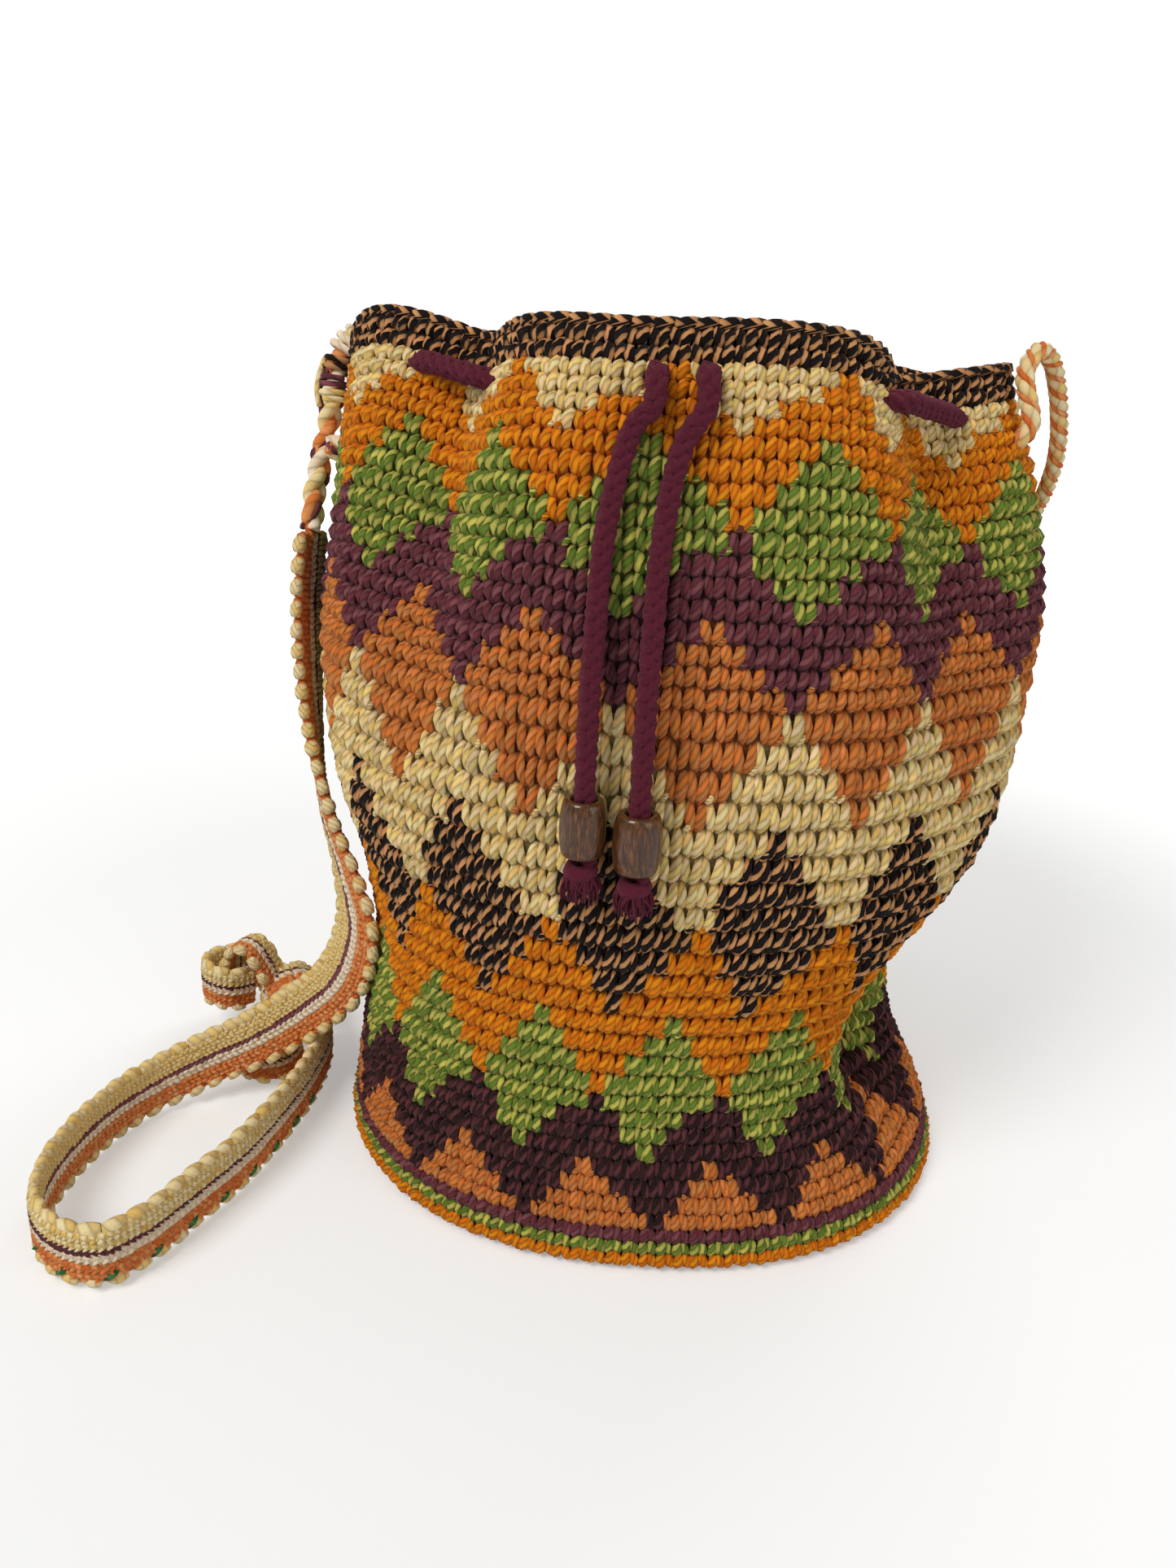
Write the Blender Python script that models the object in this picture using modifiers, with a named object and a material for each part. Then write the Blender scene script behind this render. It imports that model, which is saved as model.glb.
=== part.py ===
"""Crocheted drawstring bucket bag with a crossbody band, slumped on its round base.

Metres, +Z up, origin at the centre of the base. The front, with the two drawstring tails, faces -Y.
"""
import math

import bmesh
import bpy
import numpy as np
from mathutils import Vector

MM = 0.001

# the crocheted cup
ROWS = 45                      # 43 rounds of pattern and 2 rounds of border
WALL = 3.6 * MM                # thickness of the crocheted cloth
RIDGE = 1.3 * MM               # how far a round stands out from the groove between rounds
FLOOR = 4.5 * MM               # thickness of the base
SEGMENTS = 48                  # faces around the cup
SQUARENESS = 2.25              # exponent of the plan outline, 2 is an ellipse

# (round, height, centre x, centre y, half width along x, half width along y), in millimetres
STATIONS = [
    (0, 1.6, 0, 0, 103, 101),
    (3, 13, -1, 0, 100, 97),
    (8, 38, -6, 6, 93, 92),
    (13, 66, -5, 12, 91, 95),
    (18, 94, 0, 18, 101, 104),
    (23, 122, 1, 24, 112, 112),
    (29, 160, 1, 28, 117, 117),
    (35, 200, 1, 29, 118, 118),
    (40, 233, 0, 30, 116, 113),
    (45, 262, 0, 32, 109, 104),
]
# pleats pressed into the wall: (angle, half width in degrees, depth mm, round, rounds below, rounds above)
PLEATS = [
    (-48, 19, 25, 45, 26, 99),
    (-133, 17, 23, 45, 24, 99),
    (52, 20, 20, 45, 22, 99),
    (128, 20, 20, 45, 22, 99),
    (-30, 16, 22, 10, 8, 11),
    (-11, 37, 10, 45, 14, 99),
    (-165, 37, 7, 40, 12, 9),
]
# where the mouth is pulled up or sags: (angle, half width in degrees, lift mm)
LIFTS = [
    (-178, 24, -13.5),
    (-150, 13, 3),
    (-131, 14, -6),
    (-100, 14, -1),
    (-48, 19, -11),
    (-28, 14, -3),
    (2, 22, -16),
    (28, 20, -7),
    (95, 60, -4),
]
LIFT_ROUNDS = 18               # rounds over which a lift fades out below the mouth

# drawstring
CORD_D = 6.0 * MM
CORD_CLEAR = 0.6 * MM          # between the cord and the cloth
EYELET_D = 8.4 * MM
EYELET_ROUND = 43.0
# angles of the eyelets in the pleats, where the cord runs outside between each pair
OUTSIDE_SPANS = [(-124.0, -143.5), (145.0, 111.0), (69.0, 35.0), (-37.5, -63.5)]
TAIL_EYELETS = (-97.0, -90.5)
TAIL_LEFT = [(-99.0, 40.8), (-101.5, 37.5)]
TAIL_RIGHT = [(-93.0, 40.2), (-95.0, 37.2)]

# beads on the tails: x of the hanging tail, height of the bead's centre, widest diameter, height
BEAD_LEFT = (-25.8 * MM, 138.0 * MM, 12.4 * MM, 16.0 * MM)
BEAD_RIGHT = (-11.4 * MM, 135.0 * MM, 13.2 * MM, 16.6 * MM)
BEAD_BORE = 7.0 * MM
BEAD_TRAVEL = 30.0 * MM
BEAD_CLEAR = 0.9 * MM          # between a bead and the cloth behind it
KNOT_D = 9.6 * MM
KNOT_H = 6.5 * MM
FRAY_H = 6.0 * MM

# crossbody band
BAND_W = 21.0 * MM
BAND_T = 4.0 * MM
BRAID_D = 9.0 * MM
LOOP_D = 7.0 * MM
END_GAP = 0.5 * MM             # between two lengths of the band that meet


def collection(name):
    group = bpy.data.collections.new(name)
    bpy.context.scene.collection.children.link(group)
    return group


def material(name, colour, roughness=0.9):
    made = bpy.data.materials.new(name)
    made.use_nodes = True
    shader = made.node_tree.nodes["Principled BSDF"]
    shader.inputs["Base Color"].default_value = (*colour, 1.0)
    shader.inputs["Roughness"].default_value = roughness
    shader.inputs["Metallic"].default_value = 0.0
    return made


def place(obj, group, mat):
    """Put an object in its collection with its material and smooth sides."""
    for old in list(obj.users_collection):
        old.objects.unlink(obj)
    group.objects.link(obj)
    obj.data.materials.clear()
    obj.data.materials.append(mat)
    return obj


def evaluated_mesh(obj, name):
    """Replace an object by a plain mesh object of its evaluated shape, with welded points."""
    shape = obj.evaluated_get(bpy.context.evaluated_depsgraph_get())
    mesh = bpy.data.meshes.new_from_object(shape)
    place_of = obj.matrix_world.copy()
    bpy.data.objects.remove(obj)
    made = bpy.data.objects.new(name, mesh)
    made.matrix_world = place_of
    cage = bmesh.new()
    cage.from_mesh(mesh)
    bmesh.ops.remove_doubles(cage, verts=cage.verts, dist=1e-6)
    cage.to_mesh(mesh)
    cage.free()
    return made


def ease(t):
    t = np.clip(t, 0.0, 1.0)
    return t * t * (3.0 - 2.0 * t)


def station(row):
    """Height, centre and half widths of the cup at a round, smooth through the stations."""
    knots = np.array(STATIONS, float)
    rounds = knots[:, 0]
    row = np.clip(row, rounds[0], rounds[-1])
    i = np.clip(np.searchsorted(rounds, row, side="right") - 1, 0, len(rounds) - 2)
    h = rounds[i + 1] - rounds[i]
    t = (row - rounds[i]) / h
    values = []
    for column in range(1, 6):
        v = knots[:, column] * MM
        m = np.gradient(v, rounds)
        values.append((2 * t**3 - 3 * t**2 + 1) * v[i] + (t**3 - 2 * t**2 + t) * h * m[i]
                      + (3 * t**2 - 2 * t**3) * v[i + 1] + (t**3 - t**2) * h * m[i + 1])
    return values


def turn_from(angle, centre):
    """Signed degrees between an angle in radians and a centre in degrees."""
    return (np.degrees(angle) - centre + 180.0) % 360.0 - 180.0


def cloth(angle, row):
    """A point of the cup's cloth, at the groove between rounds."""
    angle = np.asarray(angle, float)
    row = np.asarray(row, float)
    z, cx, cy, rx, ry = station(row)
    pressed = 0.0
    for at, half, depth, deepest, below, above in PLEATS:
        shape = np.exp(-0.5 * (turn_from(angle, at) / (half * 0.55)) ** 2)
        fade = np.where(row < deepest, ease(1 - (deepest - row) / below), ease(1 - (row - deepest) / above))
        pressed = pressed + depth * MM * shape * fade
    lift = 0.0
    for at, half, height in LIFTS:
        shape = np.exp(-0.5 * (turn_from(angle, at) / (half * 0.6)) ** 2)
        lift = lift + height * MM * shape * ease(1 - (ROWS - row) / LIFT_ROUNDS)
    c, s = np.cos(angle), np.sin(angle)
    n = SQUARENESS
    r = (np.abs(c / rx) ** n + np.abs(s / ry) ** n) ** (-1.0 / n) - pressed
    return np.stack([cx + r * c, cy + r * s, z + lift + 0 * r], -1)


def outward(angle, row):
    """The direction that points out of the cloth."""
    angle = np.asarray(angle, float)
    row = np.asarray(row, float)
    along = cloth(angle + 0.01, row) - cloth(angle - 0.01, row)
    up = cloth(angle, np.minimum(row + 0.4, ROWS)) - cloth(angle, np.maximum(row - 0.4, 0))
    normal = np.cross(along, up)
    return normal / np.linalg.norm(normal, axis=-1, keepdims=True)


def on_cloth(degrees, row, offset=0.0):
    """A point that stands off the cloth by an offset, from an angle in degrees and a round."""
    angle = math.radians(degrees)
    point = cloth(angle, row) + offset * outward(angle, row)
    return Vector(point)


def smooth_route(points, spacing, closed=False):
    """Points at an even spacing along a smooth curve through the given points."""
    p = [np.array(q, float) for q in points]
    fine = []
    for i in range(len(p) - 1):
        a, b = p[i], p[i + 1]
        before = p[i - 1] if i else a - (b - a)
        after = p[i + 2] if i + 2 < len(p) else b + (b - a)
        ta, tb, tc, td = 0.0, *np.cumsum([max(np.linalg.norm(v - u), 1e-7) ** 0.5
                                          for u, v in ((before, a), (a, b), (b, after))])
        for t in np.linspace(tb, tc, 24, endpoint=False):
            u1 = (tb - t) / (tb - ta) * before + (t - ta) / (tb - ta) * a
            u2 = (tc - t) / (tc - tb) * a + (t - tb) / (tc - tb) * b
            u3 = (td - t) / (td - tc) * b + (t - tc) / (td - tc) * after
            v1 = (tc - t) / (tc - ta) * u1 + (t - ta) / (tc - ta) * u2
            v2 = (td - t) / (td - tb) * u2 + (t - tb) / (td - tb) * u3
            fine.append((tc - t) / (tc - tb) * v1 + (t - tb) / (tc - tb) * v2)
    fine.append(p[-1])
    fine = np.array(fine)
    length = np.concatenate([[0], np.cumsum(np.linalg.norm(np.diff(fine, axis=0), axis=1))])
    count = max(2, int(round(length[-1] / spacing)))
    at = np.linspace(0, length[-1], count + 1)
    return np.stack([np.interp(at, length, fine[:, k]) for k in range(3)], -1)


def thinned(points, tolerance, longest):
    """Fewer points along the same curve: none is dropped that the curve would miss by the tolerance."""
    kept = [0]
    while kept[-1] < len(points) - 1:
        start = kept[-1]
        end = start + 1
        while end + 1 < len(points):
            a, b = points[start], points[end + 1]
            along = (b - a) / np.linalg.norm(b - a)
            between = points[start + 1:end + 1] - a
            off = between - np.outer(between @ along, along)
            if np.linalg.norm(b - a) > longest or np.linalg.norm(off, axis=1).max() > tolerance:
                break
            end += 1
        kept.append(end)
    return points[kept]


def tube(name, points, diameter, resolution=2):
    """A round cord along its points."""
    curve = bpy.data.curves.new(name, "CURVE")
    curve.dimensions = "3D"
    curve.bevel_depth = diameter / 2
    curve.bevel_resolution = resolution
    curve.render_resolution_u = 0
    curve.use_fill_caps = True
    line = curve.splines.new("POLY")
    line.points.add(len(points) - 1)
    for point, at in zip(line.points, points):
        point.co = (*at, 1.0)
    return bpy.data.objects.new(name, curve)


def band(name, points, edges, width, thickness):
    """A flat band: a grid laid along its points, its width along the given edge directions."""
    cage = bmesh.new()
    bmesh.ops.create_grid(cage, x_segments=len(points) - 1, y_segments=2, size=1.0)
    count = len(points)
    for vert in cage.verts:
        i = int(round((vert.co.x + 1) / 2 * (count - 1)))
        side = vert.co.y
        vert.co = Vector(points[i]) + Vector(edges[i]) * side * (width - thickness * 0.4) / 2
    mesh = bpy.data.meshes.new(name)
    cage.to_mesh(mesh)
    cage.free()
    made = bpy.data.objects.new(name, mesh)
    wall = made.modifiers.new("thickness", "SOLIDIFY")
    wall.thickness = thickness
    wall.offset = 0.0
    rounding = made.modifiers.new("rounded edges", "BEVEL")
    rounding.width = thickness * 0.22
    rounding.segments = 1
    rounding.limit_method = "ANGLE"
    rounding.angle_limit = math.radians(50)
    return made


def band_route(stops, spacing):
    """A band's centre line and its edge directions, from stops of a point and an edge direction."""
    points = smooth_route([Vector(s[0]) * MM for s in stops], spacing)
    line = np.array([np.array(s[0]) * MM for s in stops])
    edges = np.array([np.array(s[1], float) for s in stops])
    found = []
    for i, at in enumerate(points):
        nearest = np.argsort(np.linalg.norm(line - at, axis=1))[:2]
        gaps = np.linalg.norm(line[nearest] - at, axis=1) + 1e-9
        weight = (1 / gaps) / np.sum(1 / gaps)
        found.append(weight[0] * edges[nearest[0]] + weight[1] * edges[nearest[1]])
    found = np.array(found)
    for _ in range(6):
        found[1:-1] = (found[:-2] + 2 * found[1:-1] + found[2:]) / 4
    tangents = np.gradient(points, axis=0)
    tangents /= np.linalg.norm(tangents, axis=1, keepdims=True)
    found -= np.sum(found * tangents, axis=1, keepdims=True) * tangents
    found /= np.linalg.norm(found, axis=1, keepdims=True)
    return points, found


def turned(name, profile, steps):
    """A solid turned about Z from its profile of (radius, height) points."""
    mesh = bpy.data.meshes.new(name)
    cage = bmesh.new()
    verts = [cage.verts.new((r, 0.0, z)) for r, z in profile]
    for a, b in zip(verts, verts[1:]):
        cage.edges.new((a, b))
    cage.to_mesh(mesh)
    cage.free()
    made = bpy.data.objects.new(name, mesh)
    screw = made.modifiers.new("turn", "SCREW")
    screw.steps = steps
    screw.render_steps = steps
    screw.use_merge_vertices = True
    screw.merge_threshold = 0.00001
    screw.use_smooth_shade = True
    return made


def make_body(group):
    """The cup, turned as a straight pot with a millimetre to a round, then slumped to its real shape."""
    pot = 100 * MM
    profile = [(0.0, 0.25 * MM), (pot * 0.45, 0.25 * MM), (pot * 0.85, 0.25 * MM)]
    profile += [(pot - WALL, row * MM) for row in (1.2, 3, 6, 9, 12, 15, 18, 22, 26, 30, 34, 38, 41, 43.5, 44.6)]
    profile += [(pot - WALL * 0.5, (ROWS + 0.1) * MM)]
    for row in range(ROWS, 0, -1):
        top = 0.35 * RIDGE if row == ROWS else 0.0
        profile += [(pot + top, row * MM), (pot + RIDGE, (row - 0.5) * MM)]
    profile += [(pot, 0.0), (pot * 0.97, -1 * MM), (pot * 0.55, -1 * MM), (0.0, -1 * MM)]
    body = turned("bag_body", profile, SEGMENTS)
    group.objects.link(body)
    body = evaluated_mesh(body, "bag_body")
    group.objects.link(body)
    co = np.array([v.co for v in body.data.vertices])
    radius = np.hypot(co[:, 0], co[:, 1])
    angle = np.arctan2(co[:, 1], co[:, 0])
    row = np.clip(co[:, 2] / MM, 0, ROWS)
    wall = cloth(angle, row) + (radius - pot)[:, None] * outward(angle, row)
    wall[:, 2] += np.where(co[:, 2] > (ROWS + 0.05) * MM, 0.8 * MM, 0.0)
    edge = cloth(angle, 0 * row)
    middle = np.array([STATIONS[0][2] * MM, STATIONS[0][3] * MM, 0.0])
    disc = middle + (edge - middle) * (radius / pot)[:, None]
    under = co[:, 2] < -0.5 * MM
    inside = (~under) & (radius < pot * 0.9)
    final = wall
    final[under] = disc[under]
    final[under, 2] = 0.0
    final[inside] = disc[inside]
    final[inside, 2] = FLOOR
    for vert, at in zip(body.data.vertices, final):
        vert.co = at
    body.data.update()
    return body


def cut_eyelet(body, group, name, start, end, diameter):
    """An eyelet between stitches, along the line that the cord takes through the cloth."""
    start, end = Vector(start), Vector(end)
    bpy.ops.mesh.primitive_cylinder_add(vertices=12, radius=diameter / 2, depth=(end - start).length,
                                        location=(start + end) / 2)
    cutter = bpy.context.object
    cutter.name = name
    cutter.rotation_mode = "QUATERNION"
    cutter.rotation_quaternion = (end - start).to_track_quat("Z", "X")
    for old in list(cutter.users_collection):
        old.objects.unlink(cutter)
    group.objects.link(cutter)
    cutter.hide_render = True
    cutter.display_type = "WIRE"
    cut = body.modifiers.new(name, "BOOLEAN")
    cut.operation = "DIFFERENCE"
    cut.solver = "EXACT"
    cut.object = cutter


INSIDE = -(WALL + CORD_D / 2 + CORD_CLEAR + 0.5 * MM)
OUTSIDE = RIDGE + CORD_D / 2 + CORD_CLEAR


def crossing(degrees, toward):
    """The three points of the cord as it passes out through an eyelet, the last one outside."""
    step = math.copysign(2.4, toward)
    return [on_cloth(degrees - step, EYELET_ROUND, INSIDE),
            on_cloth(degrees, EYELET_ROUND, (INSIDE + OUTSIDE) / 2),
            on_cloth(degrees + step, EYELET_ROUND, OUTSIDE)]


def wall_front(x, bottom, top):
    """The frontmost y of the cup between two heights, near one x."""
    angle, row = np.meshgrid(np.radians(np.linspace(-115, -80, 71)), np.linspace(15, 42, 109))
    p = cloth(angle, row) + RIDGE * outward(angle, row)
    near = (np.abs(p[..., 0] - x) < 6 * MM) & (p[..., 2] > bottom) & (p[..., 2] < top)
    return float(p[..., 1][near].min())


def hang_y(bead):
    """The y of a hanging tail, so that its bead clears the cloth over its whole travel."""
    x, z, d, h = bead
    return wall_front(x, z - h, z + h / 2 + BEAD_TRAVEL) - d / 2 - BEAD_CLEAR


def tail(bead, guides, eyelet):
    """A tail from its hanging end up to its eyelet."""
    x, z, d, h = bead
    y = hang_y(bead)
    low = z - h / 2 - 0.2 * MM
    high = z + h / 2 + BEAD_TRAVEL + 2 * MM
    straight = [Vector((x, y, low + (high - low) * k / 4)) for k in range(5)]
    bend = [on_cloth(a, r, OUTSIDE) for a, r in reversed(guides)]
    out = [on_cloth(eyelet, EYELET_ROUND - 1.5, OUTSIDE + 0.5 * MM),
           on_cloth(eyelet, EYELET_ROUND - 0.3, OUTSIDE + 0.6 * MM),
           on_cloth(eyelet, EYELET_ROUND, 0.0), on_cloth(eyelet, EYELET_ROUND, INSIDE)]
    return straight, bend + out


def make_drawstring(body, group, cutters):
    """The drawstring, from one tail's end round the mouth to the other's, and its eyelets."""
    left_hang, left = tail(BEAD_LEFT, TAIL_LEFT, TAIL_EYELETS[0])
    right_hang, right = tail(BEAD_RIGHT, TAIL_RIGHT, TAIL_EYELETS[1])
    around = []
    eyelets = []
    here = TAIL_EYELETS[0] - 4.5
    for leave, back in OUTSIDE_SPANS:
        target = leave if leave < here else leave - 360.0
        target_back = back - (leave - target)
        steps = max(1, int(round((here - target) / 11.0)))
        for k in range(1 if around else 0, steps):
            around.append(on_cloth(here + (target - here) * k / steps, EYELET_ROUND, INSIDE))
        out = crossing(target, -1.0)
        into = list(reversed(crossing(target_back, 1.0)))
        span = [out[2].lerp(into[0], k / 3) for k in (1, 2)]
        around += out + span + into
        eyelets += [(out[0], out[2]), (into[0], into[2])]
        here = target_back
    target = TAIL_EYELETS[1] + 4.5 - 360.0
    steps = max(2, int(round((here - target) / 11.0)))
    for k in range(1, steps + 1):
        around.append(on_cloth(here + (target - here) * k / steps, EYELET_ROUND, INSIDE))
    guide = left_hang[-1:] + left + around + list(reversed(right)) + right_hang[-1:]
    run = thinned(smooth_route(guide, 1.5 * MM), CORD_D * 0.05, CORD_D * 2.5)
    points = left_hang[:-1] + [Vector(p) for p in run] + list(reversed(right_hang[:-1]))
    for degrees in TAIL_EYELETS:
        eyelets.append((on_cloth(degrees, EYELET_ROUND, -WALL - 5 * MM),
                        on_cloth(degrees, EYELET_ROUND, RIDGE + 4 * MM)))
    for i, (a, b) in enumerate(eyelets):
        reach = (Vector(b) - Vector(a)).normalized() * 3 * MM
        cut_eyelet(body, cutters, f"eyelet_{i + 1:02d}", Vector(a) - reach, Vector(b) + reach, EYELET_D)
    drawstring = tube("drawstring", points, CORD_D)
    group.objects.link(drawstring)
    return drawstring


def make_bead(name, bead, group):
    """A turned barrel bead with a bore for the tail, its origin on the tail."""
    x, z, d, h = bead
    bore, top, widest = BEAD_BORE / 2, h / 2, d / 2
    end = bore + (widest - bore) * 0.62
    profile = [(bore, -top), (bore, top)]
    profile += [(bore + (end - bore) * 0.55, top), (end, top * 0.93)]
    for k in range(1, 8):
        t = 1 - 2 * k / 8
        profile.append((end + (widest - end) * math.cos(t * math.pi / 2) ** 0.8, top * 0.93 * t))
    profile += [(end, -top * 0.93), (bore + (end - bore) * 0.55, -top), (bore, -top)]
    made = turned(name, profile, 20)
    made.location = (x, hang_y(bead), z)
    group.objects.link(made)
    return made


def make_knot(name, bead, group):
    """The knot that stops a bead, with its frayed ends below."""
    x, z, d, h = bead
    top = z - h / 2 - 0.5 * MM
    r = KNOT_D / 2
    profile = [(0.0, 0.0), (r * 0.55, -0.2 * MM), (r * 0.95, -KNOT_H * 0.3), (r, -KNOT_H * 0.55),
               (r * 0.72, -KNOT_H * 0.95), (r * 0.62, -KNOT_H * 1.1), (r * 0.85, -KNOT_H - FRAY_H * 0.55),
               (r * 0.9, -KNOT_H - FRAY_H * 0.9), (r * 0.5, -KNOT_H - FRAY_H), (0.0, -KNOT_H - FRAY_H * 0.96)]
    made = turned(name, profile, 14)
    made.location = (x, hang_y(bead), top)
    group.objects.link(made)
    return made


# the band's routes: (point of its centre line in mm, direction of its yellow edge)
UP = (0, 0, 1)
LEFT_BAND = [
    ((-118.8, 4, 196), (0.06, 1, 0)),
    ((-120.2, 2, 175), (0.06, 1, 0)),
    ((-120, 0, 152), (0, 1, 0)),
    ((-118, -4, 128), (-0.2, 0.97, 0)),
    ((-112.5, -12, 105), (-0.42, 0.88, 0)),
    ((-104.5, -20, 86), (-0.55, 0.8, 0.1)),
    ((-100.5, -24, 68), (-0.75, 0.6, 0.25)),
    ((-107.5, -22, 46), (-0.8, 0.3, 0.55)),
    ((-120.5, -21, 33), (-0.5, 0.1, 0.86)),
    ((-136, -24, 23), (-0.25, 0.05, 0.96)),
    ((-154, -29, 15.5), (-0.1, 0, 1)),
    ((-167, -38, 11.8), UP),
    ((-176, -54, 11.3), UP),
    ((-181, -75, 11.3), UP),
    ((-181, -95, 11.3), UP),
    ((-175.5, -109, 11.3), UP),
    ((-164, -118, 11.3), UP),
    ((-153, -119, 11.3), UP),
    ((-144.5, -110, 11.3), UP),
    ((-136.5, -94, 11.3), UP),
    ((-127.5, -74, 11.3), UP),
    ((-121.5, -52, 11.3), UP),
    ((-117.5, -30, 11.3), UP),
    ((-116.5, -8, 11.3), UP),
    ((-118.4, 4, 11.4), UP),
    ((-123.2, 14.6, 11.5), UP),
]
RIGHT_BAND = [
    ((-130.0, 30.5, 12.0), UP),
    ((-126.5, 40, 11.6), UP),
    ((-117, 66, 11.3), UP),
    ((-100, 92, 11.3), UP),
    ((-70, 114, 11.3), UP),
    ((-32, 126, 11.3), UP),
    ((8, 127, 11.6), UP),
    ((44, 121, 14), (-0.05, 0.1, 1)),
    ((74, 116, 24), (-0.3, 0.3, 0.9)),
    ((95, 113, 46), (-0.6, 0.5, 0.5)),
    ((103.5, 111, 78), (-0.75, 0.65, 0.1)),
    ((106.5, 110, 112), (-0.75, 0.66, 0)),
    ((109, 104, 150), (-0.66, 0.75, 0)),
    ((112, 92, 182), (-0.6, 0.8, 0)),
]
UPPER_BOW = [
    ((-144.4, 30.8, 17.5), (0.1, 0.1, 1)),
    ((-153, 36.5, 17), (0.1, 0.2, 1)),
    ((-163, 36, 17.5), (0, 0.3, 1)),
    ((-170, 28, 18.5), (-0.1, 0.2, 1)),
    ((-167, 19, 19), (-0.1, 0, 1)),
    ((-158, 16, 18.5), (0, -0.1, 1)),
    ((-150.2, 21.2, 18), (0, -0.1, 1)),
]
LOWER_BOW = [
    ((-145.4, 14.2, 9.6), (0.2, 0, 1)),
    ((-149.5, 4, 8.8), (0.3, -0.1, 0.9)),
    ((-148, -8, 8.2), (0.2, 0.1, 0.9)),
    ((-141, -16, 8.2), (0, 0.3, 0.9)),
    ((-132.5, -16, 8.2), (0, 0.3, 0.9)),
    ((-128, -8, 8.2), (-0.3, 0, 0.9)),
    ((-130, 1.5, 8.8), (-0.2, -0.1, 0.9)),
    ((-135.2, 7.4, 9.6), (-0.1, -0.1, 1)),
]
KNOT_WRAP = ((-135, 21, 14.2), 12.4, 5.2, 20.0)   # centre, outer radius, inner radius, length, in mm
# the right end from the band to its hole: angle in degrees, round, mm off the cloth, mm of lift
SIDE_LOOP = [
    (19.0, 35.2, 7.8, 0.0),
    (9.0, 36.6, 8.8, 0.0),
    (0.0, 38.6, 11.5, 0.0),
    (-8.0, 40.6, 14.6, 0.0),
    (-14.5, 43.0, 15.2, 0.0),
    (-19.5, 44.9, 12.6, 1.4),
    (-23.5, 45.0, 8.6, 3.2),
    (-26.3, 44.6, 6.7, 0.0),
    (-27.0, 43.4, 6.5, 0.0),
    (-27.0, 42.62, 6.5, 0.0),
    (-27.0, 42.19, 6.0, 0.0),
    (-27.0, 41.83, 4.6, 0.0),
    (-27.0, 41.58, 2.5, 0.0),
    (-27.0, 41.5, 0.0, 0.0),
    (-27.0, 41.5, -9.0, 0.0),
]


def make_strap(body, group, cutters, mat):
    """The crossbody band: two lengths, the ends that wrap the mouth, and the knot that joins them."""
    points, edges = band_route(LEFT_BAND, 11 * MM)
    made = [band("strap_left", points, edges, BAND_W, BAND_T)]
    left_top, left_rise = Vector(points[0]), Vector(points[0] - points[1])
    points, edges = band_route(RIGHT_BAND, 14 * MM)
    made.append(band("strap_right", points, edges, BAND_W, BAND_T))
    right_top, right_rise = Vector(points[-1]), Vector(points[-1] - points[-2])
    points, edges = band_route(UPPER_BOW, 5 * MM)
    made.append(band("strap_bow_upper", points, edges, BAND_W * 0.85, BAND_T))
    points, edges = band_route(LOWER_BOW, 4.5 * MM)
    made.append(band("strap_bow_lower", points, edges, BAND_W * 0.66, BAND_T))
    centre, outer, inner, length = KNOT_WRAP
    half, big, small = length * MM / 2, outer * MM, inner * MM
    profile = [(small, -half * 0.8), (small, half * 0.8), (small * 1.3, half), (big * 0.8, half),
               (big, half * 0.6), (big * 0.97, 0.0), (big, -half * 0.6), (big * 0.8, -half),
               (small * 1.3, -half), (small, -half * 0.8)]
    wrap = turned("strap_knot", profile, 20)
    wrap.location = Vector(centre) * MM
    wrap.rotation_euler = (math.radians(90), 0, math.radians(-28))
    made.append(wrap)
    made.append(mouth_braid(body, cutters, left_top, left_rise))
    made.append(side_loop(body, cutters, right_top, right_rise))
    for obj in made:
        place(obj, group, mat)
    return made


def mouth_braid(body, cutters, start, leave):
    """The left end: it rises from the band, goes over the mouth and back out through the cloth."""
    r = BRAID_D / 2
    out = RIDGE + r + CORD_CLEAR + 0.6 * MM
    inner = -(WALL + CORD_D + 2 * CORD_CLEAR + r + 1.1 * MM)
    rise = leave.normalized()
    begin = start + rise * (END_GAP + r * 0.1)
    route = [begin, begin + rise * BRAID_D * 0.6, on_cloth(190.5, 36.5, out + 1.6 * MM),
             on_cloth(185.5, 39.5, out + 1.0 * MM), on_cloth(184.5, 42.0, out + 0.4 * MM),
             on_cloth(184.5, 44.0, out + 0.3 * MM), on_cloth(184.5, ROWS, out * 0.72) + Vector((0, 0, 3.4 * MM)),
             on_cloth(184.5, ROWS, -WALL * 0.4) + Vector((0, 0, r + 3.6 * MM)),
             on_cloth(186.95, 44.0, inner), on_cloth(190.1, 41.6, inner), on_cloth(191.5, 39.8, inner * 0.62),
             on_cloth(191.5, 39.6, 0.0), on_cloth(191.5, 39.6, out - r + 3.2 * MM)]
    points = thinned(smooth_route(route, 1.5 * MM), BRAID_D * 0.04, BRAID_D * 2)
    cut_eyelet(body, cutters, "strap_braid_left_eyelet", on_cloth(191.5, 39.7, -WALL - 6 * MM),
               on_cloth(191.5, 39.6, RIDGE + 8 * MM), BRAID_D + 2.6 * MM)
    return tube("strap_braid_left", points, BRAID_D)


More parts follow.
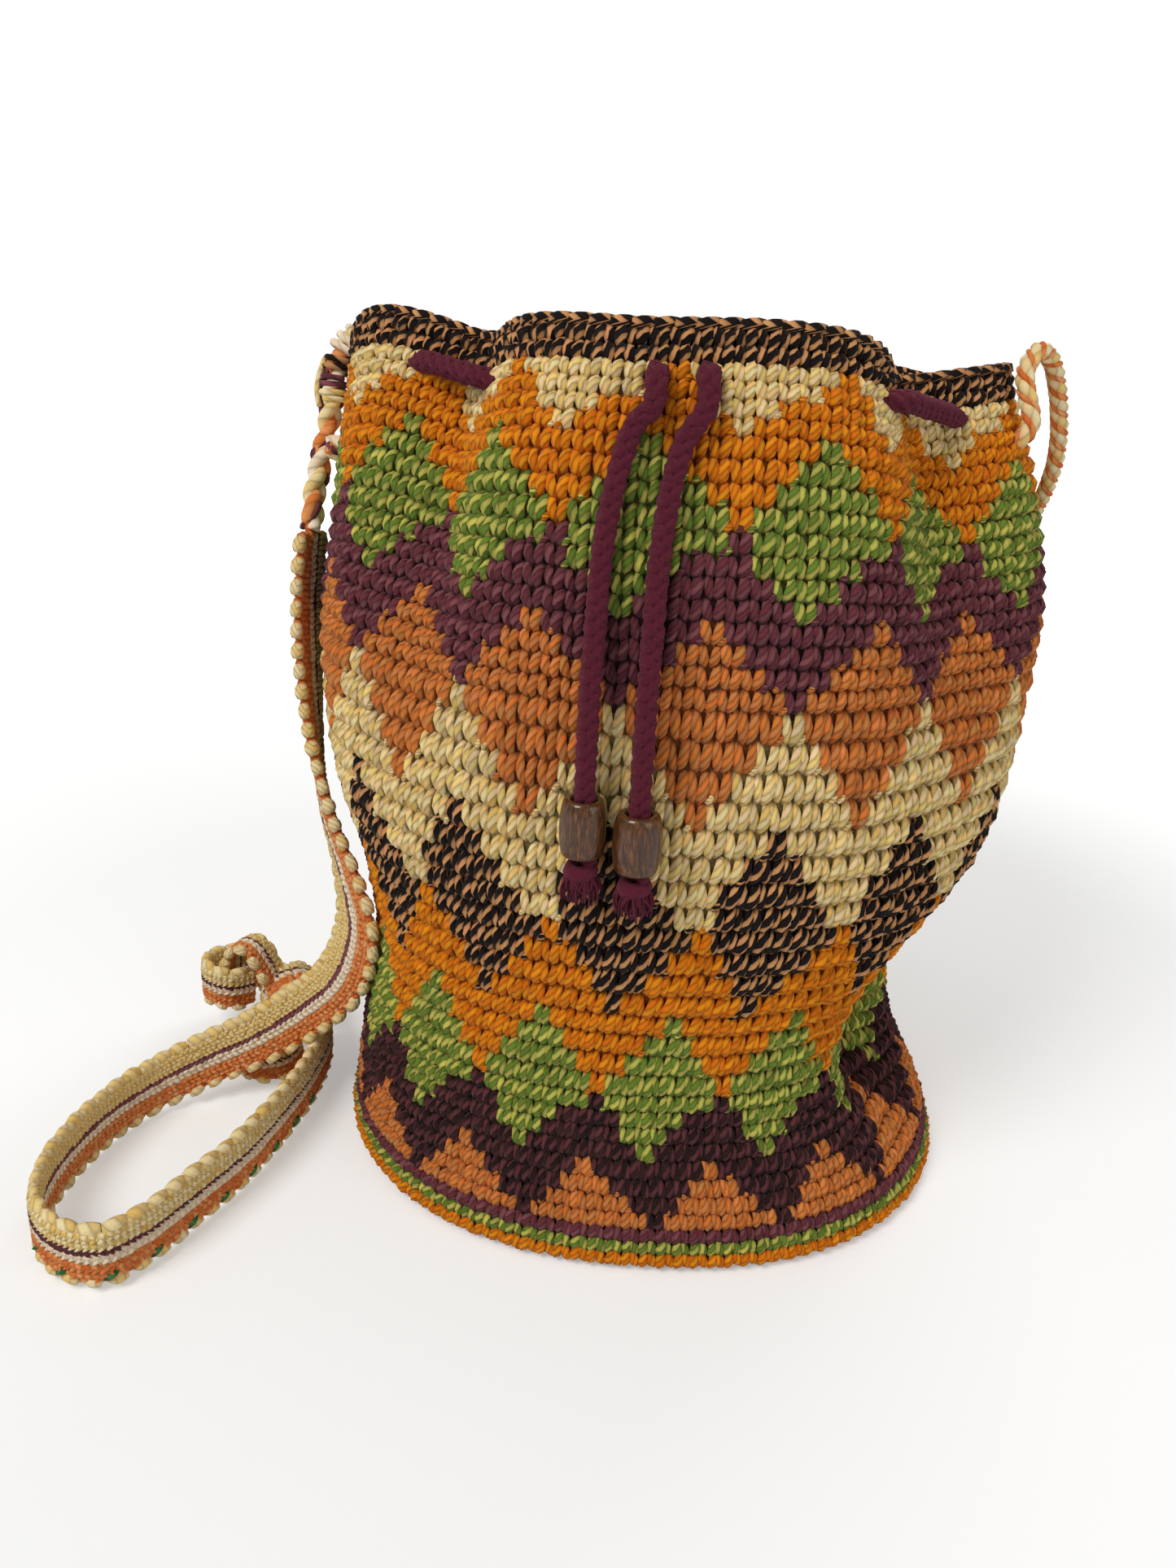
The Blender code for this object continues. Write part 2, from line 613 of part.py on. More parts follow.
def side_loop(body, cutters, start, leave):
    """The right end: it rises from the band, stands off the wall in an arch and goes in under the border."""
    r = LOOP_D / 2
    rise = leave.normalized()
    begin = start + rise * (END_GAP + r * 0.1)
    route = [begin, begin + rise * LOOP_D * 0.6]
    route += [on_cloth(degrees, row, offset * MM) + Vector((0, 0, lift * MM))
              for degrees, row, offset, lift in SIDE_LOOP]
    points = thinned(smooth_route(route, 1.5 * MM), LOOP_D * 0.04, LOOP_D * 2)
    degrees, row = SIDE_LOOP[-1][:2]
    cut_eyelet(body, cutters, "strap_loop_right_eyelet", on_cloth(degrees, row, -WALL - 6 * MM),
               on_cloth(degrees, row, RIDGE + 8 * MM), LOOP_D + 2.6 * MM)
    return tube("strap_loop_right", points, LOOP_D)


def main():
    for obj in list(bpy.data.objects):
        bpy.data.objects.remove(obj)
    group = collection("crossbody_bag")
    cutters = collection("cutters")
    yarn = material("crocheted yarn", (0.60, 0.33, 0.14))
    plum = material("plum cord", (0.10, 0.02, 0.05))
    wood = material("varnished wood", (0.11, 0.05, 0.02), 0.35)
    webbing = material("woven band", (0.68, 0.50, 0.27))
    body = make_body(group)
    place(body, group, yarn)
    place(make_drawstring(body, group, cutters), group, plum)
    for side, bead in (("left", BEAD_LEFT), ("right", BEAD_RIGHT)):
        place(make_bead(f"bead_{side}", bead, group), group, wood)
        place(make_knot(f"knot_{side}", bead, group), group, plum)
    make_strap(body, group, cutters, webbing)
    for obj in group.objects:
        if obj.type == "MESH":
            obj.data.shade_smooth()


main()
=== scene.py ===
import math

import bmesh
import bpy
import numpy as np
from mathutils import Matrix, Vector


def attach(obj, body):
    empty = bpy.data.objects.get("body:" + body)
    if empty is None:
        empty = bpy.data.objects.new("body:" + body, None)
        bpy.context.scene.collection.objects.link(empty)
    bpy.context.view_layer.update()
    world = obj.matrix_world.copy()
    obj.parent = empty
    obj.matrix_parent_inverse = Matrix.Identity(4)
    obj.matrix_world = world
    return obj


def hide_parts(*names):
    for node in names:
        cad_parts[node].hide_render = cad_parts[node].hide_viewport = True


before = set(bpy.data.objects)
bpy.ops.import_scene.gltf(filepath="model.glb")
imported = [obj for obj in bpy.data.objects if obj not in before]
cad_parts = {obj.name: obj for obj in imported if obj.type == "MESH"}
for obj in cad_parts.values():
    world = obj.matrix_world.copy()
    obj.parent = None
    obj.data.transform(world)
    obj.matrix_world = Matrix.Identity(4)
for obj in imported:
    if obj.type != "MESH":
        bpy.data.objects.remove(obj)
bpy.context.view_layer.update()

bpy.ops.object.select_all(action="DESELECT")

MM = 0.001
RANDOM = np.random.default_rng(41)

# the crocheted cup, as in the part's source
ROWS = 45
WALL = 3.6 * MM
RIDGE = 1.3 * MM
FLOOR = 4.5 * MM
SQUARENESS = 2.25
STATIONS = [
    (0, 1.6, 0, 0, 103, 101),
    (3, 13, -1, 0, 100, 97),
    (8, 38, -6, 6, 93, 92),
    (13, 66, -5, 12, 91, 95),
    (18, 94, 0, 18, 101, 104),
    (23, 122, 1, 24, 112, 112),
    (29, 160, 1, 28, 117, 117),
    (35, 200, 1, 29, 118, 118),
    (40, 233, 0, 30, 116, 113),
    (45, 262, 0, 32, 109, 104),
]
PLEATS = [
    (-48, 19, 25, 45, 26, 99),
    (-133, 17, 23, 45, 24, 99),
    (52, 20, 20, 45, 22, 99),
    (128, 20, 20, 45, 22, 99),
    (-30, 16, 22, 10, 8, 11),
    (-11, 37, 10, 45, 14, 99),
    (-165, 37, 7, 40, 12, 9),
]
LIFTS = [
    (-178, 24, -13.5),
    (-150, 13, 3),
    (-131, 14, -6),
    (-100, 14, -1),
    (-48, 19, -11),
    (-28, 14, -3),
    (2, 22, -16),
    (28, 20, -7),
    (95, 60, -4),
]
LIFT_ROUNDS = 18

CORD_D = 6.0 * MM
CORD_CLEAR = 0.6 * MM
EYELET_ROUND = 43.0
OUTSIDE_SPANS = [(-124.0, -143.5), (145.0, 111.0), (69.0, 35.0), (-37.5, -63.5)]
TAIL_EYELETS = (-97.0, -90.5)
TAIL_LEFT = [(-99.0, 40.8), (-101.5, 37.5)]
TAIL_RIGHT = [(-93.0, 40.2), (-95.0, 37.2)]
INSIDE = -(WALL + CORD_D / 2 + CORD_CLEAR + 0.5 * MM)
OUTSIDE = RIDGE + CORD_D / 2 + CORD_CLEAR

BEAD_LEFT = (-25.8 * MM, 138.0 * MM, 12.4 * MM, 16.0 * MM)
BEAD_RIGHT = (-11.4 * MM, 135.0 * MM, 13.2 * MM, 16.6 * MM)
BEAD_BORE = 7.0 * MM
BEAD_TRAVEL = 30.0 * MM
BEAD_CLEAR = 0.9 * MM
KNOT_D = 9.6 * MM
KNOT_H = 6.5 * MM
FRAY_H = 6.0 * MM

BRAID_D = 9.0 * MM
LOOP_D = 7.0 * MM
END_GAP = 0.5 * MM
UP = (0, 0, 1)
LEFT_BAND = [
    ((-118.8, 4, 196), (0.2, 0.98, 0)),
    ((-120.2, 2, 175), (0.22, 0.98, 0)),
    ((-120, 0, 152), (0.18, 0.98, 0)),
    ((-118, -4, 128), (-0.08, 0.99, 0)),
    ((-112.5, -12, 105), (-0.42, 0.88, 0)),
    ((-104.5, -20, 86), (-0.55, 0.8, 0.1)),
    ((-100.5, -24, 68), (-0.75, 0.6, 0.25)),
    ((-107.5, -22, 46), (-0.8, 0.3, 0.55)),
    ((-120.5, -21, 33), (-0.5, 0.1, 0.86)),
    ((-136, -24, 23), (-0.25, 0.05, 0.96)),
    ((-154, -29, 15.5), (-0.1, 0, 1)),
    ((-167, -38, 11.8), UP),
    ((-176, -54, 11.3), UP),
    ((-181, -75, 11.3), UP),
    ((-181, -95, 11.3), UP),
    ((-175.5, -109, 11.3), UP),
    ((-164, -118, 11.3), UP),
    ((-153, -119, 11.3), UP),
    ((-144.5, -110, 11.3), UP),
    ((-136.5, -94, 11.3), UP),
    ((-127.5, -74, 11.3), UP),
    ((-121.5, -52, 11.3), UP),
    ((-117.5, -30, 11.3), UP),
    ((-116.5, -8, 11.3), UP),
    ((-118.4, 4, 11.4), UP),
    ((-123.2, 14.6, 11.5), UP),
]
RIGHT_BAND = [
    ((-130.0, 30.5, 12.0), UP),
    ((-126.5, 40, 11.6), UP),
    ((-117, 66, 11.3), UP),
    ((-100, 92, 11.3), UP),
    ((-70, 114, 11.3), UP),
    ((-32, 126, 11.3), UP),
    ((8, 127, 11.6), UP),
    ((44, 121, 14), (-0.05, 0.1, 1)),
    ((74, 116, 24), (-0.3, 0.3, 0.9)),
    ((95, 113, 46), (-0.6, 0.5, 0.5)),
    ((103.5, 111, 78), (-0.75, 0.65, 0.1)),
    ((106.5, 110, 112), (-0.75, 0.66, 0)),
    ((109, 104, 150), (-0.66, 0.75, 0)),
    ((112, 92, 182), (-0.6, 0.8, 0)),
]
UPPER_BOW = [
    ((-144.4, 30.8, 17.5), (0.1, 0.1, 1)),
    ((-153, 36.5, 17), (0.1, 0.2, 1)),
    ((-163, 36, 17.5), (0, 0.3, 1)),
    ((-170, 28, 18.5), (-0.1, 0.2, 1)),
    ((-167, 19, 19), (-0.1, 0, 1)),
    ((-158, 16, 18.5), (0, -0.1, 1)),
    ((-150.2, 21.2, 18), (0, -0.1, 1)),
]
LOWER_BOW = [
    ((-145.4, 14.2, 9.6), (0.2, 0, 1)),
    ((-149.5, 4, 8.8), (0.3, -0.1, 0.9)),
    ((-148, -8, 8.2), (0.2, 0.1, 0.9)),
    ((-141, -16, 8.2), (0, 0.3, 0.9)),
    ((-132.5, -16, 8.2), (0, 0.3, 0.9)),
    ((-128, -8, 8.2), (-0.3, 0, 0.9)),
    ((-130, 1.5, 8.8), (-0.2, -0.1, 0.9)),
    ((-135.2, 7.4, 9.6), (-0.1, -0.1, 1)),
]
KNOT_WRAP = ((-135, 21, 14.2), 12.4, 5.2, 20.0)
# the short end that stands up behind the knot
TONGUE = [
    ((-141.5, 20, 20), (0.25, 0.95, 0.1)),
    ((-145, 20.5, 28), (0.3, 0.94, 0.1)),
    ((-149.5, 22, 34), (0.35, 0.93, 0)),
    ((-155, 24.5, 34.5), (0.4, 0.9, 0)),
    ((-159, 27, 28), (0.4, 0.9, 0)),
    ((-160, 28, 21), (0.4, 0.9, 0)),
]
# the right end from the band to its hole: angle in degrees, round, mm off the cloth, mm of lift
SIDE_LOOP = [
    (19.0, 35.2, 7.8, 0.0),
    (9.0, 36.6, 8.8, 0.0),
    (0.0, 38.6, 11.5, 0.0),
    (-8.0, 40.6, 14.6, 0.0),
    (-14.5, 43.0, 15.2, 0.0),
    (-19.5, 44.9, 12.6, 1.4),
    (-23.5, 45.0, 8.6, 3.2),
    (-26.3, 44.6, 6.7, 0.0),
    (-27.0, 43.4, 6.5, 0.0),
    (-27.0, 42.62, 6.5, 0.0),
    (-27.0, 42.19, 6.0, 0.0),
    (-27.0, 41.83, 4.6, 0.0),
    (-27.0, 41.58, 2.5, 0.0),
    (-27.0, 41.5, 0.0, 0.0),
    (-27.0, 41.5, -9.0, 0.0),
]

# the stitches
STITCHES = 128                 # in every round
REPEAT = 8                     # stitches in one repeat of the pattern
PATTERN_ROUNDS = 43
# where the knitted rounds sit on the cup: (round counted evenly from the base, round on the cup)
ROUND_PLACES = [(0, 0), (7, 6.4), (11, 9.9), (15, 14.6), (21, 22.6), (27, 30.4), (31, 33.9),
                (35, 37.2), (39, 40.7), (45, 45)]
# how far the repeat has drifted along the round: (round from the top, stitches)
DRIFT = [(1, 2.2), (4, 1.8), (8, 1.4), (12, 0.4), (16, 0.4), (28, 1.3), (32, 1.4), (36, 0.6), (43, 0.5)]


def srgb(*values):
    """A colour of 0 to 255 as the linear colour that the shader takes."""
    v = np.array(values, float) / 255
    return tuple(float(x) for x in np.where(v <= 0.04045, v / 12.92, ((v + 0.055) / 1.055) ** 2.4))


# the two plies of each yarn
YARNS = {
    "orange": (srgb(234, 146, 22), srgb(222, 120, 12)),
    "green": (srgb(106, 134, 50), srgb(194, 190, 96)),
    "plum": (srgb(104, 50, 62), srgb(130, 78, 86)),
    "peach": (srgb(216, 126, 58), srgb(206, 136, 78)),
    "cream": (srgb(238, 216, 166), srgb(232, 200, 116)),
    "black": (srgb(26, 19, 20), srgb(208, 152, 104)),
    "dark_plum": (srgb(92, 50, 56), srgb(36, 21, 25)),
}


def ease(t):
    t = np.clip(t, 0.0, 1.0)
    return t * t * (3.0 - 2.0 * t)


def station(row):
    """Height, centre and half widths of the cup at a round, smooth through the stations."""
    knots = np.array(STATIONS, float)
    rounds = knots[:, 0]
    row = np.clip(row, rounds[0], rounds[-1])
    i = np.clip(np.searchsorted(rounds, row, side="right") - 1, 0, len(rounds) - 2)
    h = rounds[i + 1] - rounds[i]
    t = (row - rounds[i]) / h
    values = []
    for column in range(1, 6):
        v = knots[:, column] * MM
        m = np.gradient(v, rounds)
        values.append((2 * t**3 - 3 * t**2 + 1) * v[i] + (t**3 - 2 * t**2 + t) * h * m[i]
                      + (3 * t**2 - 2 * t**3) * v[i + 1] + (t**3 - t**2) * h * m[i + 1])
    return values


def turn_from(angle, centre):
    return (np.degrees(angle) - centre + 180.0) % 360.0 - 180.0


def cloth(angle, row):
    """A point of the cup's cloth, at the groove between rounds."""
    angle = np.asarray(angle, float)
    row = np.asarray(row, float)
    z, cx, cy, rx, ry = station(row)
    pressed = 0.0
    for at, half, depth, deepest, below, above in PLEATS:
        shape = np.exp(-0.5 * (turn_from(angle, at) / (half * 0.55)) ** 2)
        fade = np.where(row < deepest, ease(1 - (deepest - row) / below), ease(1 - (row - deepest) / above))
        pressed = pressed + depth * MM * shape * fade
    lift = 0.0
    for at, half, height in LIFTS:
        shape = np.exp(-0.5 * (turn_from(angle, at) / (half * 0.6)) ** 2)
        lift = lift + height * MM * shape * ease(1 - (ROWS - row) / LIFT_ROUNDS)
    c, s = np.cos(angle), np.sin(angle)
    n = SQUARENESS
    r = (np.abs(c / rx) ** n + np.abs(s / ry) ** n) ** (-1.0 / n) - pressed
    return np.stack([cx + r * c, cy + r * s, z + lift + 0 * r], -1)


def outward(angle, row):
    """The direction that points out of the cloth."""
    angle = np.asarray(angle, float)
    row = np.asarray(row, float)
    along = cloth(angle + 0.01, row) - cloth(angle - 0.01, row)
    up = cloth(angle, np.minimum(row + 0.4, ROWS)) - cloth(angle, np.maximum(row - 0.4, 0))
    return unit(np.cross(along, up))


def unit(v):
    return v / np.maximum(np.linalg.norm(v, axis=-1, keepdims=True), 1e-12)


def on_cloth(degrees, row, offset=0.0):
    """A point that stands off the cloth by an offset, from an angle in degrees and a round."""
    angle = math.radians(degrees)
    return Vector(cloth(angle, row) + offset * outward(angle, row))


def smooth_route(points, spacing):
    """Points at an even spacing along a smooth curve through the given points."""
    p = [np.array(q, float) for q in points]
    fine = []
    for i in range(len(p) - 1):
        a, b = p[i], p[i + 1]
        before = p[i - 1] if i else a - (b - a)
        after = p[i + 2] if i + 2 < len(p) else b + (b - a)
        ta, tb, tc, td = 0.0, *np.cumsum([max(np.linalg.norm(v - u), 1e-7) ** 0.5
                                          for u, v in ((before, a), (a, b), (b, after))])
        for t in np.linspace(tb, tc, 24, endpoint=False):
            u1 = (tb - t) / (tb - ta) * before + (t - ta) / (tb - ta) * a
            u2 = (tc - t) / (tc - tb) * a + (t - tb) / (tc - tb) * b
            u3 = (td - t) / (td - tc) * b + (t - tc) / (td - tc) * after
            v1 = (tc - t) / (tc - ta) * u1 + (t - ta) / (tc - ta) * u2
            v2 = (td - t) / (td - tb) * u2 + (t - tb) / (td - tb) * u3
            fine.append((tc - t) / (tc - tb) * v1 + (t - tb) / (tc - tb) * v2)
    fine.append(p[-1])
    return even(np.array(fine), spacing)


def even(line, spacing):
    """The same line with points at an even spacing."""
    length = np.concatenate([[0], np.cumsum(np.linalg.norm(np.diff(line, axis=0), axis=1))])
    count = max(2, int(round(length[-1] / spacing)))
    at = np.linspace(0, length[-1], count + 1)
    return np.stack([np.interp(at, length, line[:, k]) for k in range(3)], -1)


def length_of(line):
    return float(np.linalg.norm(np.diff(line, axis=0), axis=1).sum())


def band_route(stops, spacing):
    """A band's centre line and its edge directions, from stops of a point and an edge direction."""
    points = smooth_route([Vector(s[0]) * MM for s in stops], spacing)
    line = np.array([np.array(s[0]) * MM for s in stops])
    edges = np.array([np.array(s[1], float) for s in stops])
    found = []
    for at in points:
        nearest = np.argsort(np.linalg.norm(line - at, axis=1))[:2]
        gaps = np.linalg.norm(line[nearest] - at, axis=1) + 1e-9
        weight = (1 / gaps) / np.sum(1 / gaps)
        found.append(weight[0] * edges[nearest[0]] + weight[1] * edges[nearest[1]])
    found = np.array(found)
    for _ in range(int(30 * MM / spacing) * 6):
        found[1:-1] = (found[:-2] + 2 * found[1:-1] + found[2:]) / 4
    tangents = unit(np.gradient(points, axis=0))
    found -= np.sum(found * tangents, axis=1, keepdims=True) * tangents
    return points, unit(found)


# where each stitch of a round stands: equal lengths of cloth along the round
TABLE_ROWS = np.arange(0, ROWS + 0.01, 0.5)
TURN = np.linspace(0, 2 * np.pi, 721)
TABLE = []
for table_row in TABLE_ROWS:
    ring = cloth(-np.pi / 2 + TURN, np.full_like(TURN, table_row))
    run = np.concatenate([[0], np.cumsum(np.linalg.norm(np.diff(ring, axis=0), axis=1))])
    TABLE.append(np.interp(np.linspace(0, 1, 1025), run / run[-1], TURN))
TABLE = np.array(TABLE)


def angle_at(column, row):
    """The angle of a stitch column, counted from the middle of the front, at a round of the cup."""
    turns = np.floor(column / STITCHES)
    across = (column / STITCHES - turns) * 1024
    up = np.clip(row, 0, ROWS) * 2
    i, j = np.minimum(across.astype(int), 1023), np.minimum(up.astype(int), len(TABLE_ROWS) - 2)
    a, b = across - i, up - j
    low = TABLE[j, i] * (1 - a) + TABLE[j, i + 1] * a
    high = TABLE[j + 1, i] * (1 - a) + TABLE[j + 1, i + 1] * a
    return -np.pi / 2 + turns * 2 * np.pi + low * (1 - b) + high * b


def cup_row(even_row):
    places = np.array(ROUND_PLACES, float)
    return np.interp(even_row, places[:, 0], places[:, 1])


def on_cup(column, even_row, offset):
    """Points and outward directions on the cup, from stitch columns, even rounds and offsets."""
    row = cup_row(even_row)
    angle = angle_at(column, row)
    out = outward(angle, row)
    return cloth(angle, row) + offset[..., None] * out, out


# strands of yarn

TEMPLATES = {}


def strand_template(sides, rings):
    """A strand of yarn with its ends closed: a cylinder that is extruded ring by ring."""
    if (sides, rings) in TEMPLATES:
        return TEMPLATES[sides, rings]
    bpy.ops.mesh.primitive_cylinder_add(vertices=sides, radius=1, depth=1, location=(0, 0, 0.5))
    piece = bpy.context.object
    bpy.ops.object.transform_apply(location=True)
    bpy.ops.object.mode_set(mode="EDIT")
    bpy.ops.mesh.select_mode(type="FACE")
    cage = bmesh.from_edit_mesh(piece.data)
    for face in cage.faces:
        face.select_set(face.normal.z > 0.9)
    bmesh.update_edit_mesh(piece.data)
    for _ in range(rings - 1):
        bpy.ops.mesh.extrude_region_move(TRANSFORM_OT_translate={"value": (0, 0, 1)})
    bpy.ops.object.mode_set(mode="OBJECT")
    points = np.array([v.co for v in piece.data.vertices])
    around = np.arctan2(points[:, 1], points[:, 0])
    ring = np.rint(points[:, 2]).astype(int)
    faces, corner_around, face_ring = [], [], []
    for face in piece.data.polygons:
        corners = list(face.vertices)
        faces.append(corners)
        middle = math.atan2(face.center.y, face.center.x)
        cap = len(set(ring[corners])) == 1
        turned = (around[corners] - middle + np.pi) % (2 * np.pi) - np.pi + middle
        corner_around.append(around[corners] / (2 * np.pi) if cap else turned / (2 * np.pi))
        face_ring.append(min(min(ring[corners]), rings - 1))
    bpy.data.objects.remove(piece)
    TEMPLATES[sides, rings] = (ring, around, faces, corner_around, face_ring)
    return TEMPLATES[sides, rings]


def lay_strands(name, centres, outs, radii, tiles, finish, sides=5, chunk=None, stride=5):
    """One piece of strands of yarn, each along its own row of centres.

    radii are the half widths across and outwards. A strand's tile picks its shade in the finish,
    and a long strand's tile moves on by the stride after each chunk of its rings."""
    centres, outs = np.asarray(centres, float), np.asarray(outs, float)
    count, rings = centres.shape[:2]
    radii = np.broadcast_to(np.asarray(radii, float), (count, rings, 2))
    tiles = np.asarray(tiles)
    along = unit(np.gradient(centres, axis=1))
    across = unit(np.cross(along, outs))
    rise = np.cross(across, along)
    ring, around, faces, corner_around, face_ring = strand_template(sides, rings - 1)
    points = (centres[:, ring]
              + (radii[:, ring, 0] * np.cos(around))[..., None] * across[:, ring]
              + (radii[:, ring, 1] * np.sin(around))[..., None] * rise[:, ring])
    sizes = np.array([len(f) for f in faces])
    corners = np.concatenate(faces)
    chunk = chunk or rings - 1
    part = np.repeat(np.array(face_ring) // chunk, sizes)
    place_along = np.clip((ring[corners] - part * chunk) / chunk, 0, 1)
    place_around = np.concatenate(corner_around) % 1.0
    wrapped = np.concatenate([np.array(a) - math.floor(min(a)) for a in corner_around])
    place_around = np.clip(np.where(wrapped > 1.0001, wrapped - 1, wrapped), 0, 1)
    tile = (tiles[:, None] + part[None, :] * stride) % 16
    u = (tile % 4 + 0.02 + 0.96 * place_along[None, :]) / 4
    v = (tile // 4 + 0.02 + 0.96 * place_around[None, :]) / 4
    mesh = bpy.data.meshes.new(name)
    mesh.vertices.add(count * len(ring))
    mesh.vertices.foreach_set("co", points.reshape(-1).astype(np.float32))
    all_corners = (corners[None, :] + np.arange(count)[:, None] * len(ring)).reshape(-1)
    mesh.loops.add(len(all_corners))
    mesh.loops.foreach_set("vertex_index", all_corners.astype(np.int32))
    mesh.polygons.add(count * len(faces))
    all_sizes = np.tile(sizes, count)
    starts = np.concatenate([[0], np.cumsum(all_sizes)[:-1]])
    mesh.polygons.foreach_set("loop_start", starts.astype(np.int32))
    mesh.polygons.foreach_set("use_smooth", np.ones(len(all_sizes), bool))
    laid = mesh.uv_layers.new(name="OFBake")
    laid.data.foreach_set("uv", np.stack([u.reshape(-1), v.reshape(-1)], -1).reshape(-1).astype(np.float32))
    mesh.update(calc_edges=True)
    mesh.validate()
    mesh.materials.append(finish)
    made = bpy.data.objects.new(name, mesh)
    bpy.context.scene.collection.objects.link(made)
    return made


def joined(name, pieces):
    """Several pieces as one."""
    bpy.ops.object.select_all(action="DESELECT")
    for piece in pieces:
        piece.select_set(True)
    bpy.context.view_layer.objects.active = pieces[0]
    if len(pieces) > 1:
        bpy.ops.object.join()
    whole = bpy.context.view_layer.objects.active
    whole.name = name
    whole.data.name = name
    bpy.ops.object.select_all(action="DESELECT")
    return whole


# finishes

class Shader:
    """A material's node tree, built node by node."""

    def __init__(self, name):
        self.material = bpy.data.materials.new(name)
        self.material.use_nodes = True
        self.tree = self.material.node_tree
        self.surface = self.tree.nodes["Principled BSDF"]
        self.surface.inputs["Metallic"].default_value = 0.0

    def node(self, kind, inputs=(), **settings):
        made = self.tree.nodes.new(kind)
        for key, value in settings.items():
            setattr(made, key, value)
        for key, value in dict(inputs).items():
            if isinstance(value, bpy.types.NodeSocket):
                self.tree.links.new(value, made.inputs[key])
            else:
                made.inputs[key].default_value = value
        return made

    def math(self, operation, a, b=0.0, clamp=False):
        return self.node("ShaderNodeMath", {0: a, 1: b}, operation=operation, use_clamp=clamp).outputs[0]

    def mix(self, factor, a, b, blend="MIX"):
        return self.node("ShaderNodeMix", {0: factor, 6: a, 7: b}, data_type="RGBA",
                         blend_type=blend).outputs[2]

    def steps(self, place, colours):
        """One flat colour for each equal step of a place between 0 and 1."""
        ramp = self.node("ShaderNodeValToRGB", {0: place})
        ramp.color_ramp.interpolation = "CONSTANT"
        stops = ramp.color_ramp.elements
        while len(stops) < len(colours):
            stops.new(1.0)
        for i, colour in enumerate(colours):
            stops[i].position = i / len(colours)
            stops[i].color = (*colour, 1.0)
        return ramp.outputs[0]

    def bump(self, height, distance, strength=1.0):
        made = self.node("ShaderNodeBump", {"Height": height, "Distance": distance, "Strength": strength})
        self.tree.links.new(made.outputs[0], self.surface.inputs["Normal"])

    def finish(self, colour, roughness, sheen=0.0, sheen_tint=(1, 1, 1), specular=0.5):
        self.tree.links.new(colour, self.surface.inputs["Base Color"])
        self.surface.inputs["Roughness"].default_value = roughness
        self.surface.inputs["Sheen Weight"].default_value = sheen
        self.surface.inputs["Sheen Roughness"].default_value = 0.5
        self.surface.inputs["Sheen Tint"].default_value = (*sheen_tint, 1.0)
        self.surface.inputs["Specular IOR Level"].default_value = specular
        return self.material


def shades(pair, spread, seed, blend=0.45):
    """Sixteen near shades of a yarn's two plies, which are blended by up to a share."""
    draw = np.random.default_rng(seed)
    first, second = [], []
    for _ in range(16):
        light = 1 + draw.normal(0, spread)
        lean = draw.normal(0, spread * 0.4, 3)
        mixed = float(np.clip(draw.normal(0.5, 0.35), 0, 1))
        a, b = np.array(pair[0]), np.array(pair[1])
        first.append(tuple(np.clip(a * (light + lean), 0, 1)))
        share = blend * (1 - mixed)
        second.append(tuple(np.clip((b * (1 - share) + a * share) * (light - lean), 0, 1)))
    return first, second


def yarn_finish(name, first, second, turns=2.0, plies=2, groove=0.5, fuzz=0.2, sheen=0.06, depth=0.35 * MM,
                part=0.5, shift=0.0):
    """Plied yarn: two strands twisted round each other, fibres along each, and painted shade in the groove between
    them.
    """
    s = Shader(name)
    place = s.node("ShaderNodeUVMap", uv_map="OFBake").outputs[0]
    grid = s.node("ShaderNodeVectorMath", {0: place, 1: (4, 4, 0)}, operation="MULTIPLY").outputs[0]
    cell = s.node("ShaderNodeVectorMath", {0: grid}, operation="FLOOR").outputs[0]
    inside = s.node("ShaderNodeVectorMath", {0: grid, 1: cell}, operation="SUBTRACT").outputs[0]
    tile = s.node("ShaderNodeSeparateXYZ", {0: cell}).outputs
    number = s.math("ADD", tile[0], s.math("MULTIPLY", tile[1], 4.0))
    pick = s.math("DIVIDE", s.math("ADD", number, 0.5), 16.0)
    local = s.node("ShaderNodeSeparateXYZ", {0: inside}).outputs
    along = s.math("DIVIDE", s.math("SUBTRACT", local[0], 0.02), 0.96)
    around = s.math("DIVIDE", s.math("SUBTRACT", local[1], 0.02), 0.96)
    twist = s.math("ADD", s.math("ADD", around, s.math("MULTIPLY", along, float(turns))),
                   s.math("MULTIPLY", number, shift))
    which = s.math("GREATER_THAN", s.math("FRACT", s.math("MULTIPLY", twist, plies / 2)), part)
    wave = s.math("ABSOLUTE", s.math("SINE", s.math("MULTIPLY", twist, math.pi * plies)))
    fibre_place = s.node("ShaderNodeCombineXYZ", {0: s.math("MULTIPLY", twist, 9.0),
                                                  1: s.math("MULTIPLY", along, 2.5),
                                                  2: number}).outputs[0]
    fibre = s.node("ShaderNodeTexNoise", {"Vector": fibre_place, "Scale": 1.6, "Detail": 3.0,
                                          "Roughness": 0.65}).outputs[0]
    yarn = s.mix(which, s.steps(pick, first), s.steps(pick, second))
    rounded = s.math("POWER", wave, 0.6)
    # painted shade: the colour is darker, by up to the groove share, in the groove between the plies
    shadow = s.math("ADD", 1 - groove, s.math("MULTIPLY", rounded, groove))
    streak = s.math("ADD", 1 - fuzz, s.math("MULTIPLY", fibre, 2 * fuzz))
    shade = s.math("MULTIPLY", shadow, streak)
    tone = s.node("ShaderNodeCombineXYZ", {0: shade, 1: shade, 2: shade}).outputs[0]
    colour = s.mix(1.0, yarn, tone, "MULTIPLY")
    s.bump(s.math("ADD", rounded, s.math("MULTIPLY", fibre, 0.5)), depth, 0.8)
    return s.finish(colour, 0.88, sheen, specular=0.16)


def plain_yarn(name, pair, seed, spread=0.09, blend=0.45, **how):
    first, second = shades(pair, spread, seed, blend)
    return yarn_finish(name, first, second, **how)


# the pattern of the cup

def drift(round_):
    places = np.array(DRIFT, float)
    return np.interp(round_, places[:, 0], places[:, 1])


